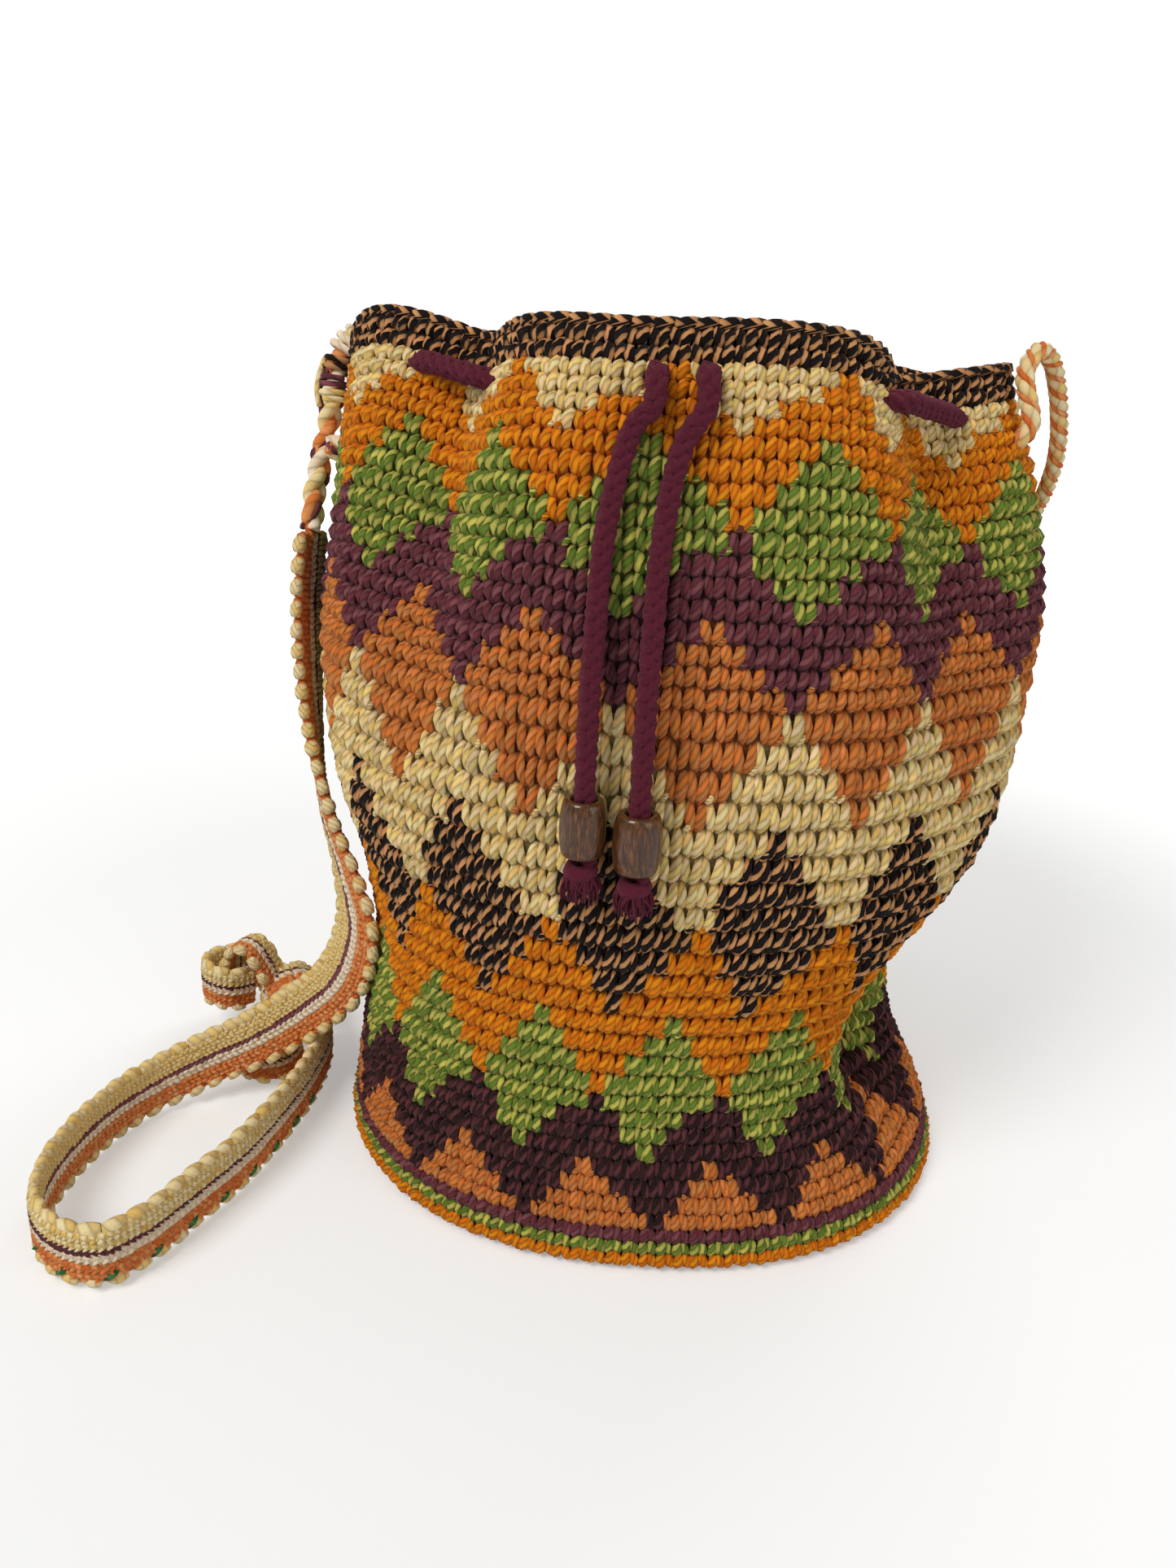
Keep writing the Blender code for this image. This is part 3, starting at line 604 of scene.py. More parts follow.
def pattern(column, round_):
    """The yarn of a stitch, from its column and its round counted down from the border."""
    n = int(round_)
    p = (column - float(drift(n))) % REPEAT
    from_start, from_half = min(p, REPEAT - p) - 0.5, abs(p - REPEAT / 2) - 0.5
    bands = [
        (4, from_start, 4 - n, "cream", "orange"),
        (8, from_half, n - 5, "green", "orange"),
        (12, from_half, 12 - n, "green", "plum"),
        (16, from_start, n - 13, "peach", "plum"),
        (20, from_start, 20 - n, "peach", "cream"),
        (24, from_half, n - 21, "black", "cream"),
        (28, from_half, 28 - n, "black", "orange"),
        (32, from_start, n - 29, "green", "orange"),
        (36, from_start, 36 - n, "green", "dark_plum"),
        (40, from_half, n - 37, "peach", "dark_plum"),
    ]
    for last, away, reach, diamond, ground in bands:
        if n <= last:
            return diamond if away < reach else ground
    return {41: "plum", 42: "green", 43: "orange"}[n]


LEG_T = np.linspace(0, 1, 5)


def stitch_legs(columns, rows, tall=1.0):
    """The two strands of each stitch: centres, outward directions and half widths."""
    legs = []
    for side in (-1.0, 1.0):
        t = LEG_T[None, :]
        wobble = RANDOM.normal(0, 0.035, (len(columns), 1))
        across = columns[:, None] + side * (0.14 + 0.24 * t) + wobble * (0.3 + t)
        up = rows[:, None] - 0.02 + tall * t + RANDOM.normal(0, 0.03, (len(columns), 1))
        swell = np.sin(np.pi * np.clip(t, 0, 1)) ** 0.8
        out = (-1.6 + 2.25 * swell + RANDOM.normal(0, 0.16, (len(columns), 1)) + side * 0.16) * MM
        legs.append((across, up, out, 1.48 * (0.78 + 0.26 * swell) * (1 + RANDOM.normal(0, 0.06, (len(columns), 1)))))
    across, up, out, fat = (np.concatenate([legs[0][k], legs[1][k]]) for k in range(4))
    centres, outs = on_cup(across, up, out)
    radii = np.stack([fat * 1.02, fat * 0.98], -1) * MM
    return centres, outs, radii


def crochet(finishes):
    """Every round of the pattern, one piece for each yarn, with the specks of carried yarn."""
    found = {name: [] for name in YARNS}
    specks = {name: [] for name in YARNS}
    for n in range(1, PATTERN_ROUNDS + 1):
        names = [pattern(j + 0.5, n) for j in range(STITCHES)]
        for j, name in enumerate(names):
            found[name].append((j + 0.5, PATTERN_ROUNDS - n))
            other = names[(j + 1) % STITCHES]
            if other != name and RANDOM.random() < 0.5:
                specks[other if RANDOM.random() < 0.5 else name].append((j + 1.0, PATTERN_ROUNDS - n))
            below = pattern(j + 0.5, n + 1) if n < 40 else name
            if below != name and RANDOM.random() < 0.4:
                specks[below].append((j + 0.5 + RANDOM.normal(0, 0.2), PATTERN_ROUNDS - n))
    made = []
    for name, stitches in found.items():
        at = np.array(stitches, float)
        centres, outs, radii = stitch_legs(at[:, 0], at[:, 1])
        tiles = RANDOM.integers(0, 16, len(centres))
        pieces = [lay_strands(f"stitches_{name}", centres, outs, radii, tiles, finishes[name])]
        if specks[name]:
            dots = np.array(specks[name], float)
            t = LEG_T[None, :]
            across = dots[:, :1] + (t - 0.5) * 0.3
            up = dots[:, 1:] - 0.02 + t * 0.3
            centres, outs = on_cup(across, up, (0.1 + 0.55 * np.sin(np.pi * t) + 0 * across) * MM)
            pieces.append(lay_strands("carried", centres, outs,
                                      (0.75 + 0.2 * np.sin(np.pi * t))[..., None] * MM * np.ones((len(dots), 5, 2)),
                                      RANDOM.integers(0, 16, len(dots)), finishes[name]))
        made.append(joined(f"stitches_{name}", pieces))
    return made


def mouth_border(finish):
    """Two rounds of black and beige yarn and the chain that runs round the mouth."""
    columns = np.tile(np.arange(STITCHES) + 0.5, 2)
    rows = np.repeat([43.0, 44.0], STITCHES)
    centres, outs, radii = stitch_legs(columns, rows)
    rounds = lay_strands("border", centres, outs, radii, RANDOM.integers(0, 16, len(centres)), finish)
    t = np.linspace(0, 1, 5)[None, :]
    j = np.arange(STITCHES)[:, None] + 0.0
    chains = []
    for outer in (True, False):
        across = j + 1.35 * t + (0.0 if outer else 0.45)
        offset = ((-0.2 + 0.9 * np.sin(np.pi * t)) if outer else (-3.6 - 0.7 * np.sin(np.pi * t))) * MM + 0 * across
        row = cup_row(np.full_like(across, 45.0))
        angle = angle_at(across, row)
        out = outward(angle, row)
        rise = np.array([0, 0, 1.0])
        lift = ((0.35 + 1.1 * t) if outer else (1.35 - 0.9 * t)) * MM + 0 * across
        centres = cloth(angle, row) + offset[..., None] * out + lift[..., None] * rise
        fat = (1.05 + 0.55 * np.sin(np.pi * t) + 0 * across) * MM
        chains.append(lay_strands("chain", centres, out + rise, np.stack([fat, fat], -1),
                                  RANDOM.integers(0, 16, STITCHES), finish))
    return joined("mouth_border", [rounds] + chains)


def colour_backing(backing, profile):
    """The yarn behind each stitch, face by face, before the grid takes its shape; all but the lining is darkened as
    painted shade.
    """
    places = np.array(ROUND_PLACES, float)
    tones = {name: np.array(pair[0]) * 0.5 + np.array(pair[1]) * 0.5 for name, pair in YARNS.items()}
    tones["black"] = np.array(srgb(60, 46, 44))
    colours = backing.data.color_attributes.new("yarn_colour_with_painted_shade", "FLOAT_COLOR", "CORNER")
    values = np.ones((len(backing.data.loops), 4), np.float32)
    for face in backing.data.polygons:
        column = int((face.center.x + 1) / 2 * STITCHES)
        at = (face.center.y + 1) / 2 * (len(profile) - 1)
        low, high = profile[int(at)], profile[min(int(at) + 1, len(profile) - 1)]
        if low[0] == "wall" and high[0] == "wall":
            even_row = float(np.interp((low[1] + high[1]) / 2, places[:, 1], places[:, 0]))
            n = PATTERN_ROUNDS - int(even_row)
            name = pattern(column + 0.5, n) if n >= 1 else "black"
        else:
            name = "black" if "mouth" in (low[0], high[0]) else "orange"
        # painted shade: where the cloth lies less than 2 mm in (the skin under the stitches, the base, the floor and
        # the lip of the mouth) the yarn's colour is darkened to 0.3 to stand for the shadow in the gaps between the
        # stitches; the lining keeps it at 1.1
        tone = tones[name] * (0.3 if low[2] > -2 else 1.1)
        values[face.loop_start:face.loop_start + face.loop_total, :3] = tone
    colours.data.foreach_set("color", values.reshape(-1))


def cup_backing():
    """The cloth behind the stitches: outside skin, mouth, lining, floor and the round base, one closed shell."""
    outer = [(k, -0.95) for k in range(0, 46)]
    profile = []
    for k in range(0, 10):
        profile.append(("base", k / 10, 0))
    profile += [("wall", r, w) for r, w in outer]
    profile += [("mouth", 45, -1.8), ("mouth", 45, -2.9)]
    profile += [("wall", 44.9 - k / 2 * 0.99, -3.7) for k in range(0, 87)]
    for k in range(7, -1, -1):
        profile.append(("floor", k / 8, 0))
    steps = STITCHES * 2
    bpy.ops.mesh.primitive_grid_add(x_subdivisions=steps, y_subdivisions=len(profile) - 1, size=2)
    backing = bpy.context.object
    co = np.array([v.co for v in backing.data.vertices])
    column = (co[:, 0] + 1) / 2 * STITCHES
    index = np.rint((co[:, 1] + 1) / 2 * (len(profile) - 1)).astype(int)
    kind = np.array([p[0] for p in profile])[index]
    value = np.array([p[1] for p in profile])[index]
    offset = np.array([p[2] for p in profile])[index] * MM
    row = np.where((kind == "wall") | (kind == "mouth"), value, 0.0)
    angle = angle_at(column, row)
    out = outward(angle, row)
    inner = (kind == "wall") & (offset < -3 * MM)
    stitch = np.sin(np.pi * ((column + row * 0.5) % 1.0)) * np.abs(np.sin(np.pi * row))
    offset = offset - np.where(inner, 0.9 * MM * stitch, 0)
    final = cloth(angle, row) + offset[:, None] * out
    colour_backing(backing, profile)
    final[:, 2] += np.where(kind == "mouth", 1.3 * MM, 0)
    middle = np.array([STATIONS[0][2] * MM, STATIONS[0][3] * MM, 0.0])
    edge = cloth(angle, 0 * row) - 0.95 * MM * out
    flat = (kind == "base") | (kind == "floor")
    disc = middle + (edge - middle) * value[:, None]
    final[flat] = disc[flat]
    ridge = np.abs(np.sin(np.pi * value * 19))
    final[:, 2] = np.where(kind == "base", 0.0, final[:, 2])
    final[:, 2] = np.where(kind == "floor", FLOOR - 0.3 * MM + 0.6 * MM * ridge, final[:, 2])
    final[:, 2] = np.where(inner, np.maximum(final[:, 2], FLOOR), final[:, 2])
    for vert, at in zip(backing.data.vertices, final):
        vert.co = at
    bpy.ops.object.mode_set(mode="EDIT")
    bpy.ops.mesh.select_all(action="SELECT")
    bpy.ops.mesh.remove_doubles(threshold=0.00002)
    bpy.ops.mesh.normals_make_consistent(inside=False)
    bpy.ops.object.mode_set(mode="OBJECT")
    bpy.ops.object.shade_smooth()
    backing.name = backing.data.name = "cup_backing"
    return backing


def backing_finish():
    s = Shader("carried yarn and painted shade behind the stitches")
    place = s.node("ShaderNodeTexCoord").outputs["Object"]
    # the colour attribute holds each yarn's colour, with painted shade everywhere but on the lining
    colour = s.node("ShaderNodeVertexColor", layer_name="yarn_colour_with_painted_shade").outputs[0]
    grain = s.node("ShaderNodeTexNoise", {"Vector": place, "Scale": 900.0, "Detail": 3.0}).outputs[0]
    shade = s.math("ADD", 0.45, s.math("MULTIPLY", grain, 0.7))
    tone = s.node("ShaderNodeCombineXYZ", {0: shade, 1: shade, 2: shade}).outputs[0]
    s.bump(grain, 0.5 * MM, 0.7)
    return s.finish(s.mix(1.0, colour, tone, "MULTIPLY"), 0.92, 0.15, specular=0.2)


# the drawstring and its beads

def wall_front(x, bottom, top):
    """The frontmost y of the cup between two heights, near one x."""
    angle, row = np.meshgrid(np.radians(np.linspace(-115, -80, 71)), np.linspace(15, 42, 109))
    p = cloth(angle, row) + RIDGE * outward(angle, row)
    near = (np.abs(p[..., 0] - x) < 6 * MM) & (p[..., 2] > bottom) & (p[..., 2] < top)
    return float(p[..., 1][near].min())


def hang_y(bead):
    x, z, d, h = bead
    return wall_front(x, z - h, z + h / 2 + BEAD_TRAVEL) - d / 2 - BEAD_CLEAR


def tail(bead, guides, eyelet):
    """A tail from its hanging end up to its eyelet."""
    x, z, d, h = bead
    y = hang_y(bead)
    low = z - h / 2 - 0.2 * MM
    high = z + h / 2 + BEAD_TRAVEL + 2 * MM
    straight = [Vector((x, y, low + (high - low) * k / 4)) for k in range(5)]
    bend = [on_cloth(a, r, OUTSIDE) for a, r in reversed(guides)]
    out = [on_cloth(eyelet, EYELET_ROUND - 1.5, OUTSIDE + 0.5 * MM),
           on_cloth(eyelet, EYELET_ROUND - 0.3, OUTSIDE + 0.6 * MM),
           on_cloth(eyelet, EYELET_ROUND, 0.0), on_cloth(eyelet, EYELET_ROUND, INSIDE)]
    return straight, bend + out


def crossing(degrees, toward):
    """The three points of the cord as it passes out through an eyelet, the last one outside."""
    step = math.copysign(2.4, toward)
    return [on_cloth(degrees - step, EYELET_ROUND, INSIDE),
            on_cloth(degrees, EYELET_ROUND, (INSIDE + OUTSIDE) / 2),
            on_cloth(degrees + step, EYELET_ROUND, OUTSIDE)]


def drawstring_routes():
    """The hanging left tail, the run round the mouth and the hanging right tail."""
    left_hang, left = tail(BEAD_LEFT, TAIL_LEFT, TAIL_EYELETS[0])
    right_hang, right = tail(BEAD_RIGHT, TAIL_RIGHT, TAIL_EYELETS[1])
    around = []
    here = TAIL_EYELETS[0] - 4.5
    for leave, back in OUTSIDE_SPANS:
        target = leave if leave < here else leave - 360.0
        target_back = back - (leave - target)
        steps = max(1, int(round((here - target) / 11.0)))
        for k in range(1 if around else 0, steps):
            around.append(on_cloth(here + (target - here) * k / steps, EYELET_ROUND, INSIDE))
        out = crossing(target, -1.0)
        into = list(reversed(crossing(target_back, 1.0)))
        around += out + [out[2].lerp(into[0], k / 3) for k in (1, 2)] + into
        here = target_back
    target = TAIL_EYELETS[1] + 4.5 - 360.0
    steps = max(2, int(round((here - target) / 11.0)))
    for k in range(1, steps + 1):
        around.append(on_cloth(here + (target - here) * k / steps, EYELET_ROUND, INSIDE))
    guide = left_hang[-1:] + left + around + list(reversed(right)) + right_hang[-1:]
    run = smooth_route(guide, 0.5 * MM)
    whole = np.concatenate([np.array([tuple(p) for p in left_hang[:-1]]), run,
                            np.array([tuple(p) for p in reversed(right_hang[:-1])])])
    whole = even(whole, 0.5 * MM)
    left_out = np.linalg.norm(whole - np.array(left[-2]), axis=1).argmin()
    right_out = len(whole) // 2 + np.linalg.norm(whole[len(whole) // 2:] - np.array(right[-2]), axis=1).argmin()
    return whole[:left_out + 1], whole[left_out:right_out + 1], whole[right_out:][::-1]


def carried_frame(line, first_out):
    """Outward directions carried along a line without twisting."""
    along = unit(np.gradient(line, axis=0))
    outs = [first_out - np.dot(first_out, along[0]) * along[0]]
    for t in along[1:]:
        o = outs[-1] - np.dot(outs[-1], t) * t
        outs.append(o / max(np.linalg.norm(o), 1e-9))
    return np.array(outs)


def braided_cord(name, line, diameter, finish, step=1.2 * MM):
    """A round braid of eight yarns, four turning each way, over a core."""
    line = even(line, step)
    outs = carried_frame(line, np.array([0.3, -1.0, 0.2]))
    side = np.cross(unit(np.gradient(line, axis=0)), outs)
    s = np.linspace(0, length_of(line), len(line))
    strands, facing = [], []
    fat = diameter * 0.205
    for way in (1, -1):
        for k in range(4):
            turn = way * (2 * np.pi * s / (diameter * 2.6) + k * np.pi / 2)
            over = np.sin(2 * np.abs(turn) * 2 + (0 if way > 0 else np.pi))
            out = (np.cos(turn + 0.3)[:, None] * outs + np.sin(turn + 0.3)[:, None] * side)
            strands.append(line + (diameter / 2 - fat + 0.4 * MM * over)[:, None] * out)
            facing.append(out)
    braid = lay_strands(name, np.array(strands), np.array(facing), np.full((8, len(line), 2), fat),
                        np.arange(8) * 2, finish, 5, 8)
    core = lay_strands("core", line[None], outs[None], np.full((1, len(line), 2), diameter * 0.4), [3], finish, 8, 8)
    return joined(name, [braid, core])


def cord_finish():
    """Soft plum cotton with a pile that catches the light."""
    s = Shader("plum braided cotton cord")
    place = s.node("ShaderNodeUVMap", uv_map="OFBake").outputs[0]
    long_place = s.node("ShaderNodeMapping", {0: place, 3: (60, 220, 1)}).outputs[0]
    fibre = s.node("ShaderNodeTexNoise", {"Vector": long_place, "Scale": 1.0, "Detail": 4.0,
                                          "Roughness": 0.7}).outputs[0]
    blotch = s.node("ShaderNodeTexNoise", {"Vector": place, "Scale": 14.0, "Detail": 2.0}).outputs[0]
    light = s.math("ADD", s.math("MULTIPLY", fibre, 0.9), s.math("MULTIPLY", blotch, 0.3))
    colour = s.mix(s.math("SUBTRACT", light, 0.12, clamp=True), (*srgb(52, 14, 28), 1), (*srgb(124, 48, 70), 1))
    s.bump(fibre, 0.3 * MM, 0.9)
    return s.finish(colour, 0.95, 0.3, (0.62, 0.26, 0.36), specular=0.1)


def turned_ring(name, profile, steps, centre):
    """A ring turned about Z: a circle extruded and scaled through the profile, then closed on itself."""
    bpy.ops.mesh.primitive_circle_add(vertices=steps, radius=profile[0][0], location=centre)
    made = bpy.context.object
    made.name = made.data.name = name
    bpy.ops.object.mode_set(mode="EDIT")
    bpy.ops.mesh.select_mode(type="EDGE")
    bpy.ops.mesh.select_all(action="SELECT")
    bpy.ops.transform.translate(value=(0, 0, profile[0][1]))
    for (r0, z0), (r1, z1) in zip(profile, profile[1:]):
        bpy.ops.mesh.extrude_region_move(TRANSFORM_OT_translate={"value": (0, 0, z1 - z0)})
        if abs(r1 / r0 - 1) > 1e-6:
            bpy.ops.transform.resize(value=(r1 / r0, r1 / r0, 1), center_override=(centre[0], centre[1], centre[2] + z1))
    bpy.ops.mesh.select_all(action="SELECT")
    bpy.ops.mesh.remove_doubles(threshold=0.00001)
    bpy.ops.mesh.normals_make_consistent(inside=False)
    bpy.ops.object.mode_set(mode="OBJECT")
    bpy.ops.object.transform_apply(location=True, rotation=True, scale=True)
    bpy.ops.object.shade_smooth()
    return made


def wooden_bead(name, bead, finish):
    """A barrel bead with rounded shoulders and a bore."""
    x, z, d, h = bead
    bore, top, widest = BEAD_BORE / 2, h / 2, d / 2
    end = bore + (widest - bore) * 0.62
    half = [(bore + (end - bore) * 0.3, top), (bore + (end - bore) * 0.7, top * 0.992), (end, top * 0.95)]
    for k in range(1, 10):
        t = 1 - k / 10
        half.append((end + (widest - end) * math.cos(t * math.pi / 2) ** 0.6, top * 0.95 * t))
    profile = [(bore, 0.0), (bore, top * 0.95)] + half + [(r, -zz) for r, zz in reversed(half[:-1])]
    profile = profile[:len(profile)] + [(bore, -top * 0.95), (bore, 0.0)]
    made = turned_ring(name, profile, 40, (x, hang_y(bead), z))
    made.data.materials.append(finish)
    return made


def wood_finish(name, x, y, seed):
    """Dark stained wood under a worn varnish, with the grain along the bead."""
    s = Shader(name)
    place = s.node("ShaderNodeTexCoord").outputs["Object"]
    own = s.node("ShaderNodeMapping", {0: place, 1: (-x * 1000 + seed, -y * 1000, 0), 3: (1000, 1000, 1000)}).outputs[0]
    grain_place = s.node("ShaderNodeMapping", {0: own, 3: (1.5, 1.5, 0.2)}).outputs[0]
    grain = s.node("ShaderNodeTexNoise", {"Vector": grain_place, "Scale": 1.1, "Detail": 5.0, "Roughness": 0.6,
                                          "Distortion": 0.6}).outputs[0]
    pores = s.node("ShaderNodeTexNoise", {"Vector": s.node("ShaderNodeMapping", {0: own, 3: (3.2, 3.2, 0.5)}).outputs[0],
                                          "Scale": 1.6, "Detail": 2.0}).outputs[0]
    ramp = s.node("ShaderNodeValToRGB", {0: grain})
    stops = ramp.color_ramp.elements
    stops[0].position, stops[0].color = 0.32, (*srgb(38, 20, 8), 1)
    stops[1].position, stops[1].color = 0.72, (*srgb(140, 88, 40), 1)
    stops.new(0.52).color = (*srgb(82, 48, 20), 1)
    dark = s.math("GREATER_THAN", pores, 0.64)
    colour = s.mix(s.math("MULTIPLY", dark, 0.6), ramp.outputs[0], (*srgb(34, 16, 10), 1))
    s.surface.inputs["Coat Weight"].default_value = 0.8
    s.surface.inputs["Coat Roughness"].default_value = 0.12
    s.bump(grain, 0.12 * MM, 0.5)
    return s.finish(colour, 0.45, specular=0.3)


def tail_knot(name, bead, finish):
    """The knot under a bead: two turns of the cord, and the frayed yarns that hang from them."""
    x, z, d, h = bead
    y = hang_y(bead)
    top = z - h / 2 - 0.5 * MM
    turn = np.linspace(0, 2 * np.pi * 1.35, 36)
    r = (KNOT_D / 2 - 2.4 * MM) * (0.7 + 0.5 * turn / turn[-1])
    line = np.stack([x + r * np.cos(turn - 1.2), y + r * np.sin(turn - 1.2),
                     top - 1.6 * MM - 3.0 * MM * turn / turn[-1] + 0.9 * MM * np.sin(turn)], -1)
    fat = (1.9 + 0.5 * np.sin(np.pi * turn / turn[-1])) * MM
    loops = lay_strands("turns", line[None], np.tile([0.0, 0, 1], (len(turn), 1))[None],
                        np.stack([fat, fat], -1)[None], [3], finish, 8, 8)
    count = 150
    draw = np.random.default_rng(int(z * 1e6))
    a = draw.uniform(0, 2 * np.pi, count)
    spread = np.sqrt(draw.uniform(0.02, 1, count))[:, None]
    t = np.linspace(0, 1, 6)[None, :]
    long = (FRAY_H + KNOT_H * 0.55) * draw.uniform(0.5, 1.0, (count, 1))
    wide = (2.0 + 3.4 * np.sin(np.pi * np.clip(t, 0, 1) * 0.62)) * MM * spread + draw.normal(0, 0.35, (count, 1)) * MM * t
    bend = a[:, None] + draw.normal(0, 0.5, (count, 1)) * t
    centres = np.stack([x + wide * np.cos(bend), y + wide * np.sin(bend), top - KNOT_H * 0.42 - long * t], -1)
    fat = (0.52 - 0.24 * t + 0 * wide) * MM
    ends = lay_strands("ends", centres, np.stack([np.cos(bend), np.sin(bend), 0 * bend], -1),
                       np.stack([fat, fat], -1), draw.integers(0, 16, count), finish, 4)
    return joined(name, [loops, ends])


# the crossbody band

def band_columns(name, points, edges, columns, finish, core):
    """A woven band: rows of slanted lumps of yarn side by side over a thin core."""
    points, edges = np.asarray(points), np.asarray(edges)
    gaps = np.linalg.norm(np.diff(points, axis=0), axis=1)
    s = np.concatenate([[0], np.cumsum(gaps)])
    total = s[-1]

    def at(distance, y):
        d = np.clip(distance, 0, total)
        p = np.stack([np.interp(d, s, points[:, k]) for k in range(3)], -1)
        e = unit(np.stack([np.interp(d, s, edges[:, k]) for k in range(3)], -1))
        return p + e * y[..., None], e

    pieces = []
    for offset, step, long, wide, thick, slant, tiles, every in columns:
        count = max(1, int(total / (step * MM)))
        start = (total - (count - 1) * step * MM) / 2
        t = np.linspace(-0.5, 0.5, 4)[None, :]
        centre_s = start + np.arange(count) * step * MM
        lean = math.radians(slant)
        ds = t * long * MM * math.cos(lean)
        dy = t * long * MM * math.sin(lean)
        jitter = RANDOM.normal(0, 0.12, (count, 1)) * MM
        distance = np.clip(centre_s[:, None] + ds + jitter, 0, total)
        centres, e = at(distance, offset * MM + dy + jitter * 0.6)
        swell = np.cos(np.pi * t) ** 0.6
        fat = (0.66 + 0.34 * swell) * (1 + RANDOM.normal(0, 0.06, (count, 1))) * MM
        radii = np.stack([fat * wide, fat * thick], -1)
        near, _ = at(np.clip(distance - 0.5 * MM, 0, total), offset * MM + dy)
        far, _ = at(np.clip(distance + 0.5 * MM, 0, total), offset * MM + dy)
        outs = unit(np.cross(unit(far - near), e))
        choice = np.array([tiles[(k // every) % len(tiles)] if every else tiles[RANDOM.integers(len(tiles))]
                           for k in range(count)])
        pieces.append(lay_strands("column", centres, outs, radii, choice, finish, 5, stride=0))
    if core is None:
        return joined(name, pieces)
    flat = np.linspace(0, total, max(4, int(total / (2.5 * MM))))
    middle, e = at(flat, np.zeros(len(flat)))
    outs = unit(np.cross(unit(np.gradient(middle, axis=0)), e))
    width = max(abs(c[0]) for c in columns) * MM
    pieces.append(lay_strands("core", middle[None], outs[None],
                              np.broadcast_to(np.array([width, 0.9 * MM]), (1, len(flat), 2)), [core], finish, 8, 4, 0))
    return joined(name, pieces)


# shades of the band by tile: 0-3 yellow cream, 4-5 plum, 6-8 white, 9-11 orange, 12-13 bobble cream, 14 green, 15 black
BAND_YARNS = (
    [(srgb(246, 218, 150), srgb(250, 232, 182)), (srgb(240, 208, 128), srgb(250, 236, 192)),
     (srgb(248, 224, 162), srgb(240, 206, 124)), (srgb(244, 218, 152), srgb(250, 232, 180))]
    + [(srgb(134, 76, 88), srgb(98, 52, 64))] * 2
    + [(srgb(254, 242, 222), srgb(250, 232, 206))] * 3
    + [(srgb(234, 138, 74), srgb(242, 162, 100)), (srgb(238, 150, 84), srgb(222, 118, 56)),
       (srgb(242, 168, 112), srgb(232, 140, 78))]
    + [(srgb(246, 226, 174), srgb(242, 210, 136)), (srgb(244, 222, 168), srgb(248, 232, 188))]
    + [(srgb(40, 110, 66), srgb(64, 134, 82)), (srgb(32, 22, 22), srgb(196, 144, 100))]
)
YELLOW, PLUM, WHITE, ORANGE, BOBBLE, GREEN, BLACK = [0, 1, 2, 3], [4, 5], [6, 7, 8], [9, 10, 11], [12, 13], [14], [15]
# columns of the band: offset, step, length, half width, half thickness, slant, shades, change every
BAND_COLUMNS = [
    (9.0, 6.8, 6.6, 2.4, 1.8, 4, YELLOW, 0),
    (7.2, 1.9, 3.4, 0.95, 2.0, -30, YELLOW, 0),
    (5.8, 1.9, 3.4, 0.9, 2.05, 30, YELLOW, 0),
    (4.4, 1.9, 3.4, 0.9, 2.1, -30, YELLOW, 0),
    (3.1, 1.9, 3.2, 0.85, 2.1, 30, YELLOW, 0),
    (1.8, 1.9, 3.6, 1.0, 2.2, -40, PLUM, 0),
    (0.5, 2.2, 3.8, 1.0, 2.2, -28, WHITE, 0),
    (-1.1, 2.2, 3.8, 1.0, 2.2, 28, WHITE, 0),
    (-2.8, 2.0, 3.6, 1.0, 2.1, -32, ORANGE, 0),
    (-4.4, 2.0, 3.6, 1.0, 2.1, 32, ORANGE, 0),
    (-6.0, 2.0, 3.6, 1.0, 2.0, -32, ORANGE, 0),
    (-7.4, 3.4, 3.6, 1.1, 1.9, 30, ORANGE, 0),
    (-8.5, 6.8, 4.9, 2.2, 2.35, -14, BOBBLE, 0),
]
GREEN_SPOTS = (-6.6, 13.6, 4.4, 1.3, 2.6, 30, GREEN, 0)


